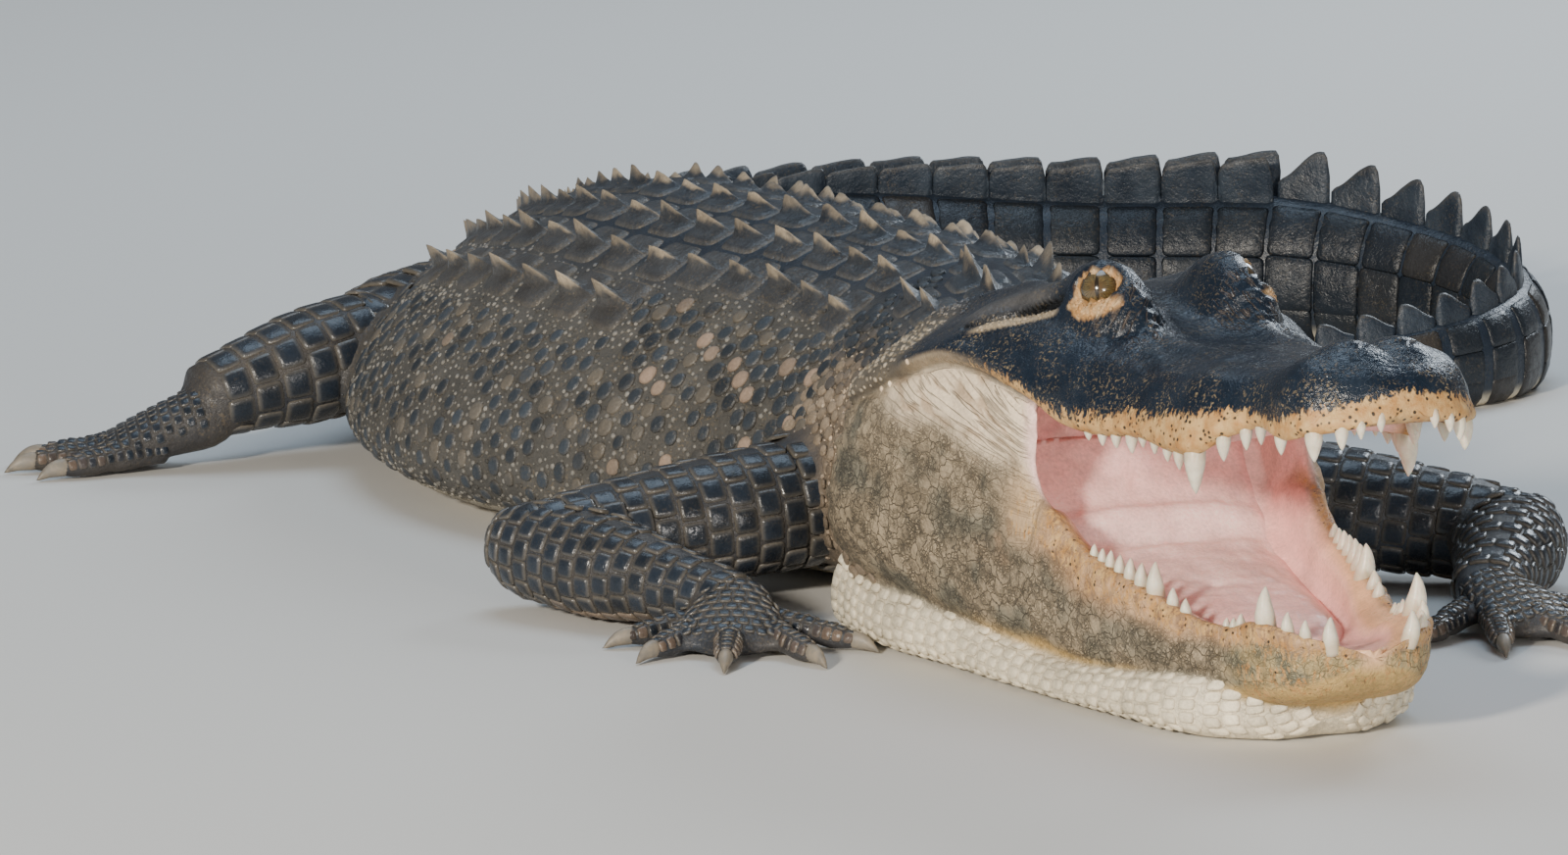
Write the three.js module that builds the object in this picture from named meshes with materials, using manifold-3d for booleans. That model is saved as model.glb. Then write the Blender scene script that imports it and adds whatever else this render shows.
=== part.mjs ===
// American alligator, life size, lying on the floor with its mouth open.
// Millimetres, +Z up. The origin is on the floor under the middle of the trunk.
// The trunk faces -Y there, so the animal's right side is on -X.
import * as THREE from 'three';
import Module from 'manifold-3d';

const wasm = await Module();
wasm.setup();

// Driving dimensions
const GAP = 0.3;
const SUNK = 9;
const FINEST = 0.12;
const SCUTE_FINEST = 0.1;
const FLOOR_DEPTH = 60;
const MID_TRUNK = 620;

// Bends of the spine: distance behind the jaw joint, heading in degrees
const SPINE_BENDS = [
  [-100, 2], [0, -7], [140, -6], [290, 14], [420, 19], [560, 14], [720, 3], [880, -6], [1020, -11],
  [1150, -28], [1300, -62], [1440, -90], [1560, -103], [1700, -109], [1780, -121], [1870, -138],
  [1955, -160], [2035, -182], [2150, -226], [2240, -258], [2340, -278], [2520, -292],
];

// Body sections: distance behind the jaw joint, half width, height, height of the widest place,
// squareness of the upper half
const BODY_STATIONS = [
  [-70, 126, 186, 84, 2.2], [0, 140, 204, 86, 2.2], [100, 136, 214, 84, 2.1], [200, 146, 219, 76, 1.95],
  [330, 176, 224, 64, 1.75], [460, 212, 227, 56, 1.62], [620, 234, 226, 50, 1.56], [760, 222, 208, 50, 1.6],
  [860, 186, 190, 52, 1.7], [940, 154, 171, 54, 1.85], [1020, 126, 154, 56, 2], [1120, 108, 142, 58, 2],
  [1250, 88, 135, 58, 2], [1450, 66, 126, 54, 2], [1650, 49, 116, 50, 2], [1780, 41, 118, 48, 2],
  [1900, 34, 106, 44, 2], [2030, 28, 90, 38, 2], [2200, 20, 68, 28, 2], [2400, 11, 40, 16, 2], [2520, 5, 20, 9, 2],
];
const BELLY_SINK = 6;
const TAIL_SINK = 2;

// Lengths of the spine, from front to back
const NECK_FRONT = -60;
const TRUNK_NAMES = ['torso_front', 'torso_middle', 'torso_rear', 'hips'];
const TAIL_NAMES = ['tail_1', 'tail_2', 'tail_3', 'tail_4', 'tail_5', 'tail_6', 'tail_tip'];

// Dorsal scutes
const TRUNK_FRONT = 234;
const ROW_PITCH = 47.3;
const ROWS_PER_NODE = [5, 5, 5, 3];
const SCUTE_LENGTH = 41;
const SCUTE_SPACING = [[234, 38], [340, 37], [460, 40], [620, 41], [850, 40], [960, 36], [1086, 32]];
const SCUTE_FILL = 0.88;
const SCUTED = 0.745;
const PLATE_RISE = 3;
const PLATE_TAPER = 0.93;
const KEEL_RISE = 17;
const OUTER_KEEL_RISE = 22;

// Tail whorls
const DOUBLE_WHORLS = 15;
const DOUBLE_PITCH = 46.4;
const SINGLE_WHORLS = 21;
const SINGLE_PITCH = 45.5;
const SINGLE_SHRINK = 0.975;
const CREST_THICK = 9;
const SIDE_KEELS = 9;

// Head, in its own frame: x forward from the jaw joint, y left, z up from the tooth line
const JAW_JOINT_HEIGHT = 121;
const HEAD_HEADING = 10.9;
const HEAD_ASIDE = 13;
const HEAD_PITCH = 10.3;
const JAW_PITCH = -6.1;
// x, half width at the lip, height of the lip, height of the top
const HEAD_STATIONS = [
  [-34, 128, 40, 94], [0, 140, 46, 103], [40, 141, 54, 107], [84, 134, 62, 110], [120, 128, 66, 110],
  [150, 121, 60, 108], [180, 115, 49, 104], [205, 109, 36, 97], [230, 102, 20, 83], [263, 95, 12, 70],
  [308, 88, 8, 61], [348, 87, -2, 56], [373, 85, -5, 52], [398, 75, 4, 50], [426, 62, 9, 49],
  [448, 64, 3, 52], [467, 66, 0, 55], [487, 60, 4, 51], [501, 48, 8, 41], [512, 30, 12, 30],
];
// x, half width, height of the edge, height of the underside
const JAW_STATIONS = [
  [-40, 136, 20, -86], [0, 142, 22, -88], [50, 139, 22, -86], [90, 131, 18, -86], [130, 123, 16, -88],
  [180, 114, 24, -89], [208, 108, 26, -88], [232, 103, 14, -86], [256, 99, 6, -83], [288, 94, 2, -77],
  [324, 86, -3, -69], [360, 76, -8, -61], [390, 68, -6, -56], [414, 65, 4, -52], [434, 59, 6, -47],
  [449, 50, 4, -40], [460, 37, 2, -31], [467, 20, -2, -22],
];
const EYE = { x: 208, y: 49, z: 105, radius: 14.5 };
const EYE_MOUND = { x: 202, y: 44, z: 96, radii: [38, 26, 30] };
const LID_RADII = [14, 11, 4];
const LID_LIFT = 10;
const NOSTRIL = { x: 474, y: 16, z: 50, radii: [18, 14, 10] };
const EAR_FLAP = { x: 140, y: 71, z: 100, radii: [40, 13, 9] };
const EAR_SLIT = { x: 158, y: 84, z: 93, radii: [26, 14, 1.8] };

const TOOTH_SIDES = 5;
const LONG_SPIKE = 18;

// Limbs
const DIGIT_SIDES = 5;
const CLAW_SIDES = 4;

// Smooth curve through a few places, without overshoot
function curveThrough(places) {
  const n = places.length;
  const slope = [];
  for (let i = 0; i < n - 1; i += 1) {
    slope.push((places[i + 1][1] - places[i][1]) / (places[i + 1][0] - places[i][0]));
  }
  const tangent = places.map((_, i) => {
    if (i === 0) return slope[0];
    if (i === n - 1) return slope[n - 2];
    if (slope[i - 1] * slope[i] <= 0) return 0;
    return (2 * slope[i - 1] * slope[i]) / (slope[i - 1] + slope[i]);
  });
  return (x) => {
    if (x <= places[0][0]) return places[0][1];
    if (x >= places[n - 1][0]) return places[n - 1][1];
    let i = 0;
    while (places[i + 1][0] < x) i += 1;
    const width = places[i + 1][0] - places[i][0];
    const t = (x - places[i][0]) / width;
    const t2 = t * t;
    const t3 = t2 * t;
    return (2 * t3 - 3 * t2 + 1) * places[i][1] + (t3 - 2 * t2 + t) * width * tangent[i]
      + (3 * t2 - 2 * t3) * places[i + 1][1] + (t3 - t2) * width * tangent[i + 1];
  };
}

const column = (stations, index) => curveThrough(stations.map((row) => [row[0], row[index]]));
const lerp = THREE.MathUtils.lerp;
const smoothstep = THREE.MathUtils.smoothstep;
const radians = THREE.MathUtils.degToRad;

// Closed solids
function solidOf(points, faces) {
  let volume = 0;
  for (const [a, b, c] of faces) {
    volume += points[a].dot(new THREE.Vector3().crossVectors(points[b], points[c]));
  }
  const turned = volume < 0 ? faces.map(([a, b, c]) => [a, c, b]) : faces;
  return new wasm.Manifold(new wasm.Mesh({
    numProp: 3,
    vertProperties: new Float32Array(points.flatMap((p) => [p.x, p.y, p.z])),
    triVerts: new Uint32Array(turned.flat()),
  }));
}

// Rings of points joined by faces, closed at both ends
function loft(rings) {
  const count = rings[0].length;
  const points = rings.flat();
  const faces = [];
  for (let i = 0; i < rings.length - 1; i += 1) {
    for (let j = 0; j < count; j += 1) {
      const a = i * count + j;
      const b = i * count + ((j + 1) % count);
      faces.push([a, b, a + count], [b, b + count, a + count]);
    }
  }
  for (const [ring, start, turn] of [[rings[0], 0, 1], [rings.at(-1), points.length - count, -1]]) {
    const middle = ring.reduce((sum, p) => sum.add(p), new THREE.Vector3()).divideScalar(count);
    points.push(middle);
    for (let j = 0; j < count; j += 1) {
      const a = start + j;
      const b = start + ((j + 1) % count);
      faces.push(turn > 0 ? [b, a, points.length - 1] : [a, b, points.length - 1]);
    }
  }
  return solidOf(points, faces);
}

// The same rings, moved out by a clearance, for cutting a neighbour
function swollen(rings, clearance) {
  return rings.map((ring, i) => {
    const middle = ring.reduce((sum, p) => sum.add(p), new THREE.Vector3()).divideScalar(ring.length);
    const next = rings[Math.min(i + 1, rings.length - 1)][0];
    const along = next.clone().sub(rings[Math.max(i - 1, 0)][0]).normalize();
    let shift = 0;
    if (i === 0) shift = -clearance;
    if (i === rings.length - 1) shift = clearance;
    return ring.map((p, j) => {
      const round = ring[(j + 1) % ring.length].clone().sub(ring.at(j - 1));
      const out = new THREE.Vector3().crossVectors(round, along).normalize();
      if (out.dot(p.clone().sub(middle)) < 0) out.negate();
      return p.clone().addScaledVector(out, clearance * 1.3).addScaledVector(along, shift);
    });
  });
}

function joined(solids) {
  return wasm.Manifold.union(solids);
}

function largest(solid) {
  const pieces = solid.asOriginal().simplify(FINEST).decompose();
  pieces.sort((a, b) => b.volume() - a.volume());
  return pieces[0];
}

// Spine
const headingAt = curveThrough(SPINE_BENDS);
const halfWidthAt = column(BODY_STATIONS, 1);
const topAt = column(BODY_STATIONS, 2);
const widestAt = column(BODY_STATIONS, 3);
const SPINE_STEP = 5;
const SPINE_START = -100;
const SPINE_END = 2530;

function walkSpine() {
  const places = [new THREE.Vector3()];
  for (let s = SPINE_START; s < SPINE_END; s += SPINE_STEP) {
    const h = radians(headingAt(s + SPINE_STEP / 2));
    const back = new THREE.Vector3(-Math.sin(h), Math.cos(h), 0);
    places.push(places.at(-1).clone().addScaledVector(back, SPINE_STEP));
  }
  return places;
}
const spinePlaces = walkSpine();

function alongSpine(s) {
  const t = (s - SPINE_START) / SPINE_STEP;
  const i = Math.min(Math.max(Math.floor(t), 0), spinePlaces.length - 2);
  return spinePlaces[i].clone().lerp(spinePlaces[i + 1], t - i);
}
const middleOfTrunk = alongSpine(MID_TRUNK);

function spineFrame(s) {
  const h = radians(headingAt(s));
  return {
    place: alongSpine(s).sub(middleOfTrunk),
    forward: new THREE.Vector3(Math.sin(h), -Math.cos(h), 0),
    left: new THREE.Vector3(Math.cos(h), Math.sin(h), 0),
  };
}

const up = new THREE.Vector3(0, 0, 1);
const power = (value, exponent) => Math.sign(value) * Math.abs(value) ** exponent;
const squarenessAt = column(BODY_STATIONS, 4);
const sinkAt = (s) => lerp(BELLY_SINK, TAIL_SINK, smoothstep(s, 950, 1500));

// Height of the skin over the floor at a distance to the side of the spine
function skinHeight(s, side) {
  const square = squarenessAt(s);
  const fraction = Math.min(Math.abs(side) / halfWidthAt(s), 0.999);
  const rise = (1 - fraction ** square) ** (1 / square);
  return widestAt(s) + (topAt(s) - widestAt(s)) * rise;
}

function skinPoint(s, side) {
  const frame = spineFrame(s);
  return frame.place.addScaledVector(frame.left, side).setZ(skinHeight(s, side));
}

const spacingAt = curveThrough(SCUTE_SPACING);

// Ring round the trunk, its upper points between the columns of scutes
function trunkRing(s) {
  const frame = spineFrame(s);
  const half = halfWidthAt(s);
  const outer = Math.min(4 * spacingAt(s), 0.9 * half);
  const sides = [0, 1, 2, 3].map((k) => k * Math.min(spacingAt(s), outer / 4));
  const bottom = -sinkAt(s);
  const upper = [...sides, outer, lerp(outer, half, 0.75)].map((side) => [side, skinHeight(s, side)]);
  const outline = [
    ...upper, [half, widestAt(s)], [0.93 * half, lerp(bottom, widestAt(s), 0.32)], [0.7 * half, bottom + 4], [0, bottom],
  ];
  const mirrored = outline.slice(1, -1).reverse().map(([side, z]) => [-side, z]);
  return [...outline, ...mirrored]
    .map(([side, z]) => frame.place.clone().addScaledVector(frame.left, side).setZ(z));
}

// Ring round the tail, its upper points beside the crests and the side keels
const crestSideAt = curveThrough([[1086, 22], [1782, 9]]);
const keelSideAt = curveThrough([[1086, 58], [1500, 38], [1782, 22]]);
function tailRing(s) {
  const frame = spineFrame(s);
  const half = halfWidthAt(s);
  const between = Math.min((crestSideAt(s) + keelSideAt(s)) / 2, 0.6 * half);
  const outside = Math.min(keelSideAt(s) + 17, 0.88 * half);
  const bottom = -sinkAt(s);
  const outline = [
    ...[0, between, outside].map((side) => [side, skinHeight(s, side)]),
    [half, widestAt(s)], [0.78 * half, lerp(bottom, widestAt(s), 0.2)], [0, bottom],
  ];
  const mirrored = outline.slice(1, -1).reverse().map(([side, z]) => [-side, z]);
  return [...outline, ...mirrored]
    .map(([side, z]) => frame.place.clone().addScaledVector(frame.left, side).setZ(z));
}

// Box for trimming: a plane facing away from the kept side
function slab(centre, outward, across, upward, depth, reach, height) {
  const rings = [0, depth].map((d) => {
    const middle = centre.clone().addScaledVector(outward, d);
    return [[-1, -1], [1, -1], [1, 1], [-1, 1]].map(([a, b]) => middle.clone()
      .addScaledVector(across, a * reach).addScaledVector(upward, b * height));
  });
  return loft(rings);
}

const FLOOR_REACH = 2500;
const belowFloor = slab(
  new THREE.Vector3(), new THREE.Vector3(0, 0, -1), new THREE.Vector3(1, 0, 0),
  new THREE.Vector3(0, 1, 0), FLOOR_DEPTH, FLOOR_REACH, FLOOR_REACH,
);

const BEHIND = 70;
const BESIDE = 160;
const OVER = 400;
function trimmedAlongSpine(solid, front, back) {
  const frontFrame = spineFrame(front);
  const backFrame = spineFrame(back);
  const ahead = slab(frontFrame.place, frontFrame.forward, frontFrame.left, up, BEHIND, BESIDE, OVER);
  const rearward = backFrame.forward.clone().negate();
  const behind = slab(backFrame.place, rearward, backFrame.left, up, BEHIND, BESIDE, OVER);
  return solid.asOriginal().simplify(SCUTE_FINEST).subtract(ahead).subtract(behind);
}

// Scutes: a plate with a keel that rises to a peak towards its back edge
function scute(place, forward, side, normal, size) {
  const { length, width, plate, keel } = size;
  const at = (f, s, n) => place.clone()
    .addScaledVector(forward, f).addScaledVector(side, s).addScaledVector(normal, n);
  const corners = [[0.5, 0.42], [0.5, -0.42], [-0.5, -0.5], [-0.5, 0.5]];
  const points = [
    ...corners.map(([f, s]) => at(f * length, s * width, -SUNK)),
    ...corners.map(([f, s]) => at(f * length * PLATE_TAPER, s * width * PLATE_TAPER, plate)),
    at(0.34 * length, 0, plate + keel * 0.16),
    at(-0.36 * length, 0, keel),
  ];
  const faces = [
    [0, 2, 1], [0, 3, 2],
    [0, 1, 4], [1, 5, 4], [1, 2, 5], [2, 6, 5], [2, 3, 6], [3, 7, 6], [3, 0, 7], [0, 4, 7],
    [4, 5, 8], [5, 6, 8], [6, 9, 8], [6, 7, 9], [7, 4, 9], [4, 8, 9],
  ];
  return solidOf(points, faces);
}

// Directions on the skin of the back
function backFrame(s, side) {
  const place = skinPoint(s, side);
  const forward = skinPoint(s - 4, side).sub(skinPoint(s + 4, side)).normalize();
  const across = skinPoint(s, side + 3).sub(skinPoint(s, side - 3)).normalize();
  const normal = new THREE.Vector3().crossVectors(forward, across).normalize();
  if (normal.z < 0) normal.negate();
  return { place, forward, across, normal };
}

const scutesAcross = (s) => 2 * Math.floor((SCUTED * halfWidthAt(s)) / spacingAt(s));

function dorsalRow(s) {
  const across = scutesAcross(s);
  const row = [];
  for (let i = 0; i < across; i += 1) {
    const column = i - (across - 1) / 2;
    const outer = Math.abs(column) / 3.5;
    const frame = backFrame(s, column * spacingAt(s));
    row.push(scute(frame.place, frame.forward, frame.across, frame.normal, {
      length: SCUTE_LENGTH * (1 - 0.15 * outer),
      width: SCUTE_FILL * spacingAt(s),
      plate: PLATE_RISE,
      keel: lerp(KEEL_RISE, OUTER_KEEL_RISE, outer),
    }));
  }
  return row;
}

// Neck shields: distance behind the jaw joint, distance to the side, length, width, keel
const NUCHAL_SHIELDS = [
  [112, 22, 46, 40, 22], [162, 24, 50, 44, 24], [118, 62, 34, 34, 18], [166, 66, 34, 32, 18],
  [52, 24, 22, 22, 11], [66, 58, 20, 20, 10], [206, 20, 28, 26, 13],
];

function nuchalShields() {
  const shields = [];
  for (const [s, side, length, width, keel] of NUCHAL_SHIELDS) {
    for (const hand of [-1, 1]) {
      const frame = backFrame(s, side * hand);
      const size = { length, width, plate: PLATE_RISE, keel };
      shields.push(scute(frame.place, frame.forward, frame.across, frame.normal, size));
    }
  }
  return shields;
}

const trunkCuts = [TRUNK_FRONT];
ROWS_PER_NODE.forEach((rows) => trunkCuts.push(trunkCuts.at(-1) + rows * ROW_PITCH));

// Tail crests: an upright plate, lower at its front, that leans out to its side
function crest(s, side, size, lean) {
  const { length, height, front } = size;
  const frame = spineFrame(s);
  const base = frame.place.clone().addScaledVector(frame.left, side).setZ(skinHeight(s, side));
  const out = up.clone().addScaledVector(frame.left, lean).normalize();
  const at = (f, n, t) => base.clone().addScaledVector(frame.forward, f * length)
    .addScaledVector(out, n).addScaledVector(frame.left, t * CREST_THICK);
  const outline = [
    [0.49, -SUNK], [0.49, height * front], [0, height * lerp(front, 1, 0.72)], [-0.49, height], [-0.49, -SUNK],
  ];
  const thick = [0.6, 0.4, 0.3, 0.14, 0.6];
  const points = [-1, 1].flatMap((hand) => outline.map(([f, n], i) => at(f, n, thick[i] * hand)));
  const faces = [[0, 4, 1], [1, 4, 2], [2, 4, 3], [5, 6, 9], [6, 7, 9], [7, 8, 9]];
  for (let i = 0; i < 5; i += 1) {
    const next = (i + 1) % 5;
    faces.push([i, next, i + 5], [next, next + 5, i + 5]);
  }
  return solidOf(points, faces);
}

function whorlEnds() {
  const ends = [trunkCuts.at(-1)];
  for (let i = 0; i < DOUBLE_WHORLS; i += 1) ends.push(ends.at(-1) + DOUBLE_PITCH);
  let pitch = SINGLE_PITCH;
  for (let i = 0; i < SINGLE_WHORLS; i += 1) {
    ends.push(ends.at(-1) + pitch);
    pitch *= SINGLE_SHRINK;
  }
  return ends;
}
const whorls = whorlEnds();

const doubleCrestAt = curveThrough([[0, 9], [5, 16], [9, 27], [14, 36]]);
const singleCrestAt = curveThrough([[0, 40], [2, 35], [6, 31], [12, 20], [20, 9]]);

function whorlPlates(index) {
  const front = whorls[index];
  const back = whorls[index + 1];
  const middle = (front + back) / 2;
  const length = back - front;
  if (index >= DOUBLE_WHORLS) {
    return [crest(middle, 0, { length, height: singleCrestAt(index - DOUBLE_WHORLS), front: 0.3 }, 0)];
  }
  const side = crestSideAt(middle);
  const size = { length, height: doubleCrestAt(index), front: lerp(0.4, 0.82, smoothstep(index, 3, 9)) };
  const plates = [-1, 1].map((hand) => crest(middle, side * hand, size, 0.3 * hand));
  if (index < SIDE_KEELS) {
    const keel = lerp(13, 6, index / SIDE_KEELS);
    for (const hand of [-1, 1]) {
      const frame = backFrame(middle, hand * keelSideAt(middle));
      const shape = { length: length * 0.84, width: 26, plate: 2, keel };
      plates.push(scute(frame.place, frame.forward, frame.across, frame.normal, shape));
    }
  }
  return plates;
}

// Head frames
function turnedFrame(pitch) {
  const frame = new THREE.Object3D();
  const heading = radians(HEAD_HEADING);
  const forward = new THREE.Vector3(Math.sin(heading), -Math.cos(heading), 0);
  const left = new THREE.Vector3(Math.cos(heading), Math.sin(heading), 0);
  const nose = forward.clone().multiplyScalar(Math.cos(radians(pitch)));
  nose.z = Math.sin(radians(pitch));
  const crown = new THREE.Vector3().crossVectors(nose, left);
  const origin = spineFrame(0).place.setZ(JAW_JOINT_HEIGHT).addScaledVector(left, -HEAD_ASIDE);
  frame.matrix.makeBasis(nose, left, crown).setPosition(origin);
  return frame.matrix;
}
const headMatrix = turnedFrame(HEAD_PITCH);
const jawMatrix = turnedFrame(JAW_PITCH);
const inHead = (x, y, z) => new THREE.Vector3(x, y, z).applyMatrix4(headMatrix);
const inJaw = (x, y, z) => new THREE.Vector3(x, y, z).applyMatrix4(jawMatrix);

// Half outline, given from the underside middle to the top middle, mirrored to a ring
function mirroredRing(half, place) {
  const others = half.slice(1, -1).reverse();
  return [...half.map(([y, z]) => place(y, z)), ...others.map(([y, z]) => place(-y, z))];
}

const headHalf = column(HEAD_STATIONS, 1);
const headLip = column(HEAD_STATIONS, 2);
const headTop = column(HEAD_STATIONS, 3);

function headRing(x) {
  const w = headHalf(x);
  const lip = headLip(x);
  const h = headTop(x) - lip;
  const snout = smoothstep(x, 150, 250);
  const half = [
    [0, lip + 9], [0.72 * w, lip + 4], [0.93 * w, lip],
    [w, lip + 0.2 * h],
    [lerp(0.9, 0.94, snout) * w, lip + lerp(0.42, 0.52, snout) * h],
    [lerp(0.68, 0.78, snout) * w, lip + lerp(0.72, 0.83, snout) * h],
    [lerp(0.46, 0.44, snout) * w, lip + 0.98 * h],
    [0, lip + h],
  ];
  return mirroredRing(half, (y, z) => inHead(x, y, z));
}

const jawHalf = column(JAW_STATIONS, 1);
const jawEdge = column(JAW_STATIONS, 2);
const jawUnder = column(JAW_STATIONS, 3);

function jawRing(x) {
  const w = jawHalf(x);
  const edge = jawEdge(x);
  const under = jawUnder(x);
  const h = edge - under;
  const half = [
    [0, under], [0.62 * w, under + 0.03 * h], [0.9 * w, under + 0.2 * h], [w, under + 0.5 * h],
    [0.985 * w, under + 0.8 * h], [0.94 * w, edge], [0.72 * w, edge - 3], [0, edge - 3],
  ];
  return mirroredRing(half, (y, z) => inJaw(x, y, z));
}

// Ball with three radii in a frame
function ball(place, matrix, radii, sides, rows) {
  const rings = [];
  for (let i = 1; i < rows; i += 1) {
    const polar = (Math.PI * i) / rows;
    const ring = [];
    for (let j = 0; j < sides; j += 1) {
      const turn = (2 * Math.PI * j) / sides;
      ring.push(new THREE.Vector3(
        place[0] + radii[0] * Math.sin(polar) * Math.cos(turn),
        place[1] + radii[1] * Math.sin(polar) * Math.sin(turn),
        place[2] + radii[2] * Math.cos(polar),
      ).applyMatrix4(matrix));
    }
    rings.push(ring);
  }
  const points = rings.flat();
  const faces = [];
  for (let i = 0; i < rings.length - 1; i += 1) {
    for (let j = 0; j < sides; j += 1) {
      const a = i * sides + j;
      const b = i * sides + ((j + 1) % sides);
      faces.push([a, b, a + sides], [b, b + sides, a + sides]);
    }
  }
  const poles = [radii[2], -radii[2]].map((z) => new THREE.Vector3(place[0], place[1], place[2] + z));
  for (const [pole, start, turn] of [[poles[0], 0, 1], [poles[1], points.length - sides, -1]]) {
    points.push(pole.applyMatrix4(matrix));
    for (let j = 0; j < sides; j += 1) {
      const a = start + j;
      const b = start + ((j + 1) % sides);
      faces.push(turn > 0 ? [b, a, points.length - 1] : [a, b, points.length - 1]);
    }
  }
  return solidOf(points, faces);
}

// Cone with a bent side, its root sunk in what carries it
function spike(root, tip, radius, sides) {
  const along = tip.clone().sub(root).normalize();
  const sideways = new THREE.Vector3().crossVectors(along, up.clone().addScaledVector(along, 0.3));
  sideways.normalize();
  const other = new THREE.Vector3().crossVectors(along, sideways);
  const length = tip.distanceTo(root);
  const levels = length > LONG_SPIKE && sides === TOOTH_SIDES ? [[-0.4, 1], [0.5, 0.74]] : [[-0.6, 1.1]];
  const points = levels.flatMap(([d, r]) => Array.from({ length: sides }, (_, i) => {
    const a = (2 * Math.PI * i) / sides;
    return root.clone().addScaledVector(along, d * length)
      .addScaledVector(sideways, r * radius * Math.cos(a)).addScaledVector(other, r * radius * Math.sin(a));
  }));
  const faces = [];
  const last = (levels.length - 1) * sides;
  for (let i = 0; i < sides; i += 1) {
    const next = (i + 1) % sides;
    if (last > 0) faces.push([i, next, i + sides], [next, next + sides, i + sides]);
    faces.push([last + i, last + next, points.length]);
    if (i > 1) faces.push([0, i, i - 1]);
  }
  points.push(tip.clone());
  return solidOf(points, faces);
}

// Upper teeth from the front: x, length, radius
const UPPER_TEETH = [
  [505, 7, 3], [497, 8, 3.2], [486, 13, 4.4], [470, 19, 5.6], [450, 11, 4.2], [424, 11, 3.8], [412, 12, 4.2],
  [396, 14, 4.8], [371, 25, 7], [355, 11, 4], [341, 8, 3.4], [325, 7, 3.2], [310, 6, 3.2],
  [296, 11, 4.4], [280, 8, 3.8], [266, 7, 3.4], [252, 5, 3.2],
];
const LOWER_TEETH = [
  [461, 17, 5.2], [451, 11, 4], [440, 12, 4.2], [421, 25, 6.6], [398, 9, 3.8], [391, 7, 3.2],
  [384, 6, 3], [346, 9, 3.8], [334, 11, 4.2], [316, 21, 6], [303, 15, 5], [292, 14, 4.6],
  [281, 12, 4.2], [271, 11, 4], [262, 9, 3.6], [253, 8, 3.4],
];

function upperTeeth() {
  const teeth = [];
  for (const [x, length, radius] of UPPER_TEETH) {
    for (const hand of [-1, 1]) {
      const y = hand * (headHalf(x) * 0.93 - radius * 0.45);
      const z = headLip(x) + 1.5;
      const tip = inHead(x + 1, y + hand * length * 0.12, z - length);
      teeth.push(spike(inHead(x, y, z), tip, radius, TOOTH_SIDES));
    }
  }
  return teeth;
}

function lowerTeeth() {
  const teeth = [];
  for (const [x, length, radius] of LOWER_TEETH) {
    for (const hand of [-1, 1]) {
      const y = hand * (jawHalf(x) * 0.9 - radius * 0.6);
      const z = jawEdge(x) - 1.5;
      const tip = inJaw(x + length * 0.15, y + hand * length * 0.3, z + length);
      teeth.push(spike(inJaw(x, y, z), tip, radius, TOOTH_SIDES));
    }
  }
  return teeth;
}

const ringsAt = (places, ring) => places.map((x) => ring(x));
const places = (stations) => stations.map((row) => row[0]);

const headRings = ringsAt(places(HEAD_STATIONS), headRing);
const jawRings = ringsAt(places(JAW_STATIONS), jawRing);

// Mouth floor between the sides of the jaw
const MOUTH_PLACES = [112, 135, 165, 200, 260, 330, 385];
const SIDE_THICKNESS = 23;
const tongueTop = curveThrough([[112, 40], [135, 18], [165, -2], [210, -20], [300, -28], [385, -20]]);
const mouthHalf = (x) => jawHalf(x) - SIDE_THICKNESS - smoothstep(x, 280, 385) * 8;

function tongueRing(x) {
  const w = mouthHalf(x) - 3;
  const under = jawUnder(x) + 12.2;
  const top = tongueTop(x);
  const half = [[0, under], [0.75 * w, under + 2], [w, top - 6], [0.8 * w, top], [0, top]];
  return mirroredRing(half, (y, z) => inJaw(x, y, z));
}

function troughRing(x) {
  const w = mouthHalf(x);
  const under = jawUnder(x) + 11.5;
  const half = [[0, under], [0.8 * w, under + 1.5], [w, tongueTop(x) - 6], [w + 6, 20], [w + 6, 120], [0, 120]];
  return mirroredRing(half, (y, z) => inJaw(x, y, z));
}

// Soft hinge between the jaws at the back of the mouth
const HINGE_PLACES = [-40, 0, 57, 99, 135, 166, 190, 202];
const hingeTop = curveThrough([[-40, 40], [0, 58], [57, 88], [99, 110], [166, 108], [202, 96]]);
function hingeRing(x) {
  const w = jawHalf(x) * 0.97;
  const top = hingeTop(x);
  const half = [[0, -60], [0.8 * w, -58], [w, -30], [w, top - 40], [0.95 * w, top - 8], [0.8 * w, top], [0, top]];
  return mirroredRing(half, (y, z) => inJaw(x, y, z));
}

// Throat skin, from the chin to the neck, resting on the floor
// x, half width, lift of the underside
const THROAT_STATIONS = [
  [-60, 120, 0], [20, 128, 0], [100, 120, 0], [180, 114, 0], [260, 106, 0], [330, 96, 0], [370, 86, 0],
  [396, 62, 3], [410, 40, 9], [420, 20, 20],
];
const throatHalf = column(THROAT_STATIONS, 1);
const throatLift = column(THROAT_STATIONS, 2);
function throatRing(x) {
  const w = throatHalf(x);
  const floor = -(JAW_JOINT_HEIGHT - x * Math.sin(radians(-JAW_PITCH))) / Math.cos(radians(JAW_PITCH));
  const under = floor - 5 + throatLift(x);
  const top = jawUnder(x) + 16;
  const half = [[0, under], [0.55 * w, under], [0.9 * w, under + 14], [w, lerp(under, top, 0.5)], [0.95 * w, top], [0, top]];
  return mirroredRing(half, (y, z) => inJaw(x, y, z));
}

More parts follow.
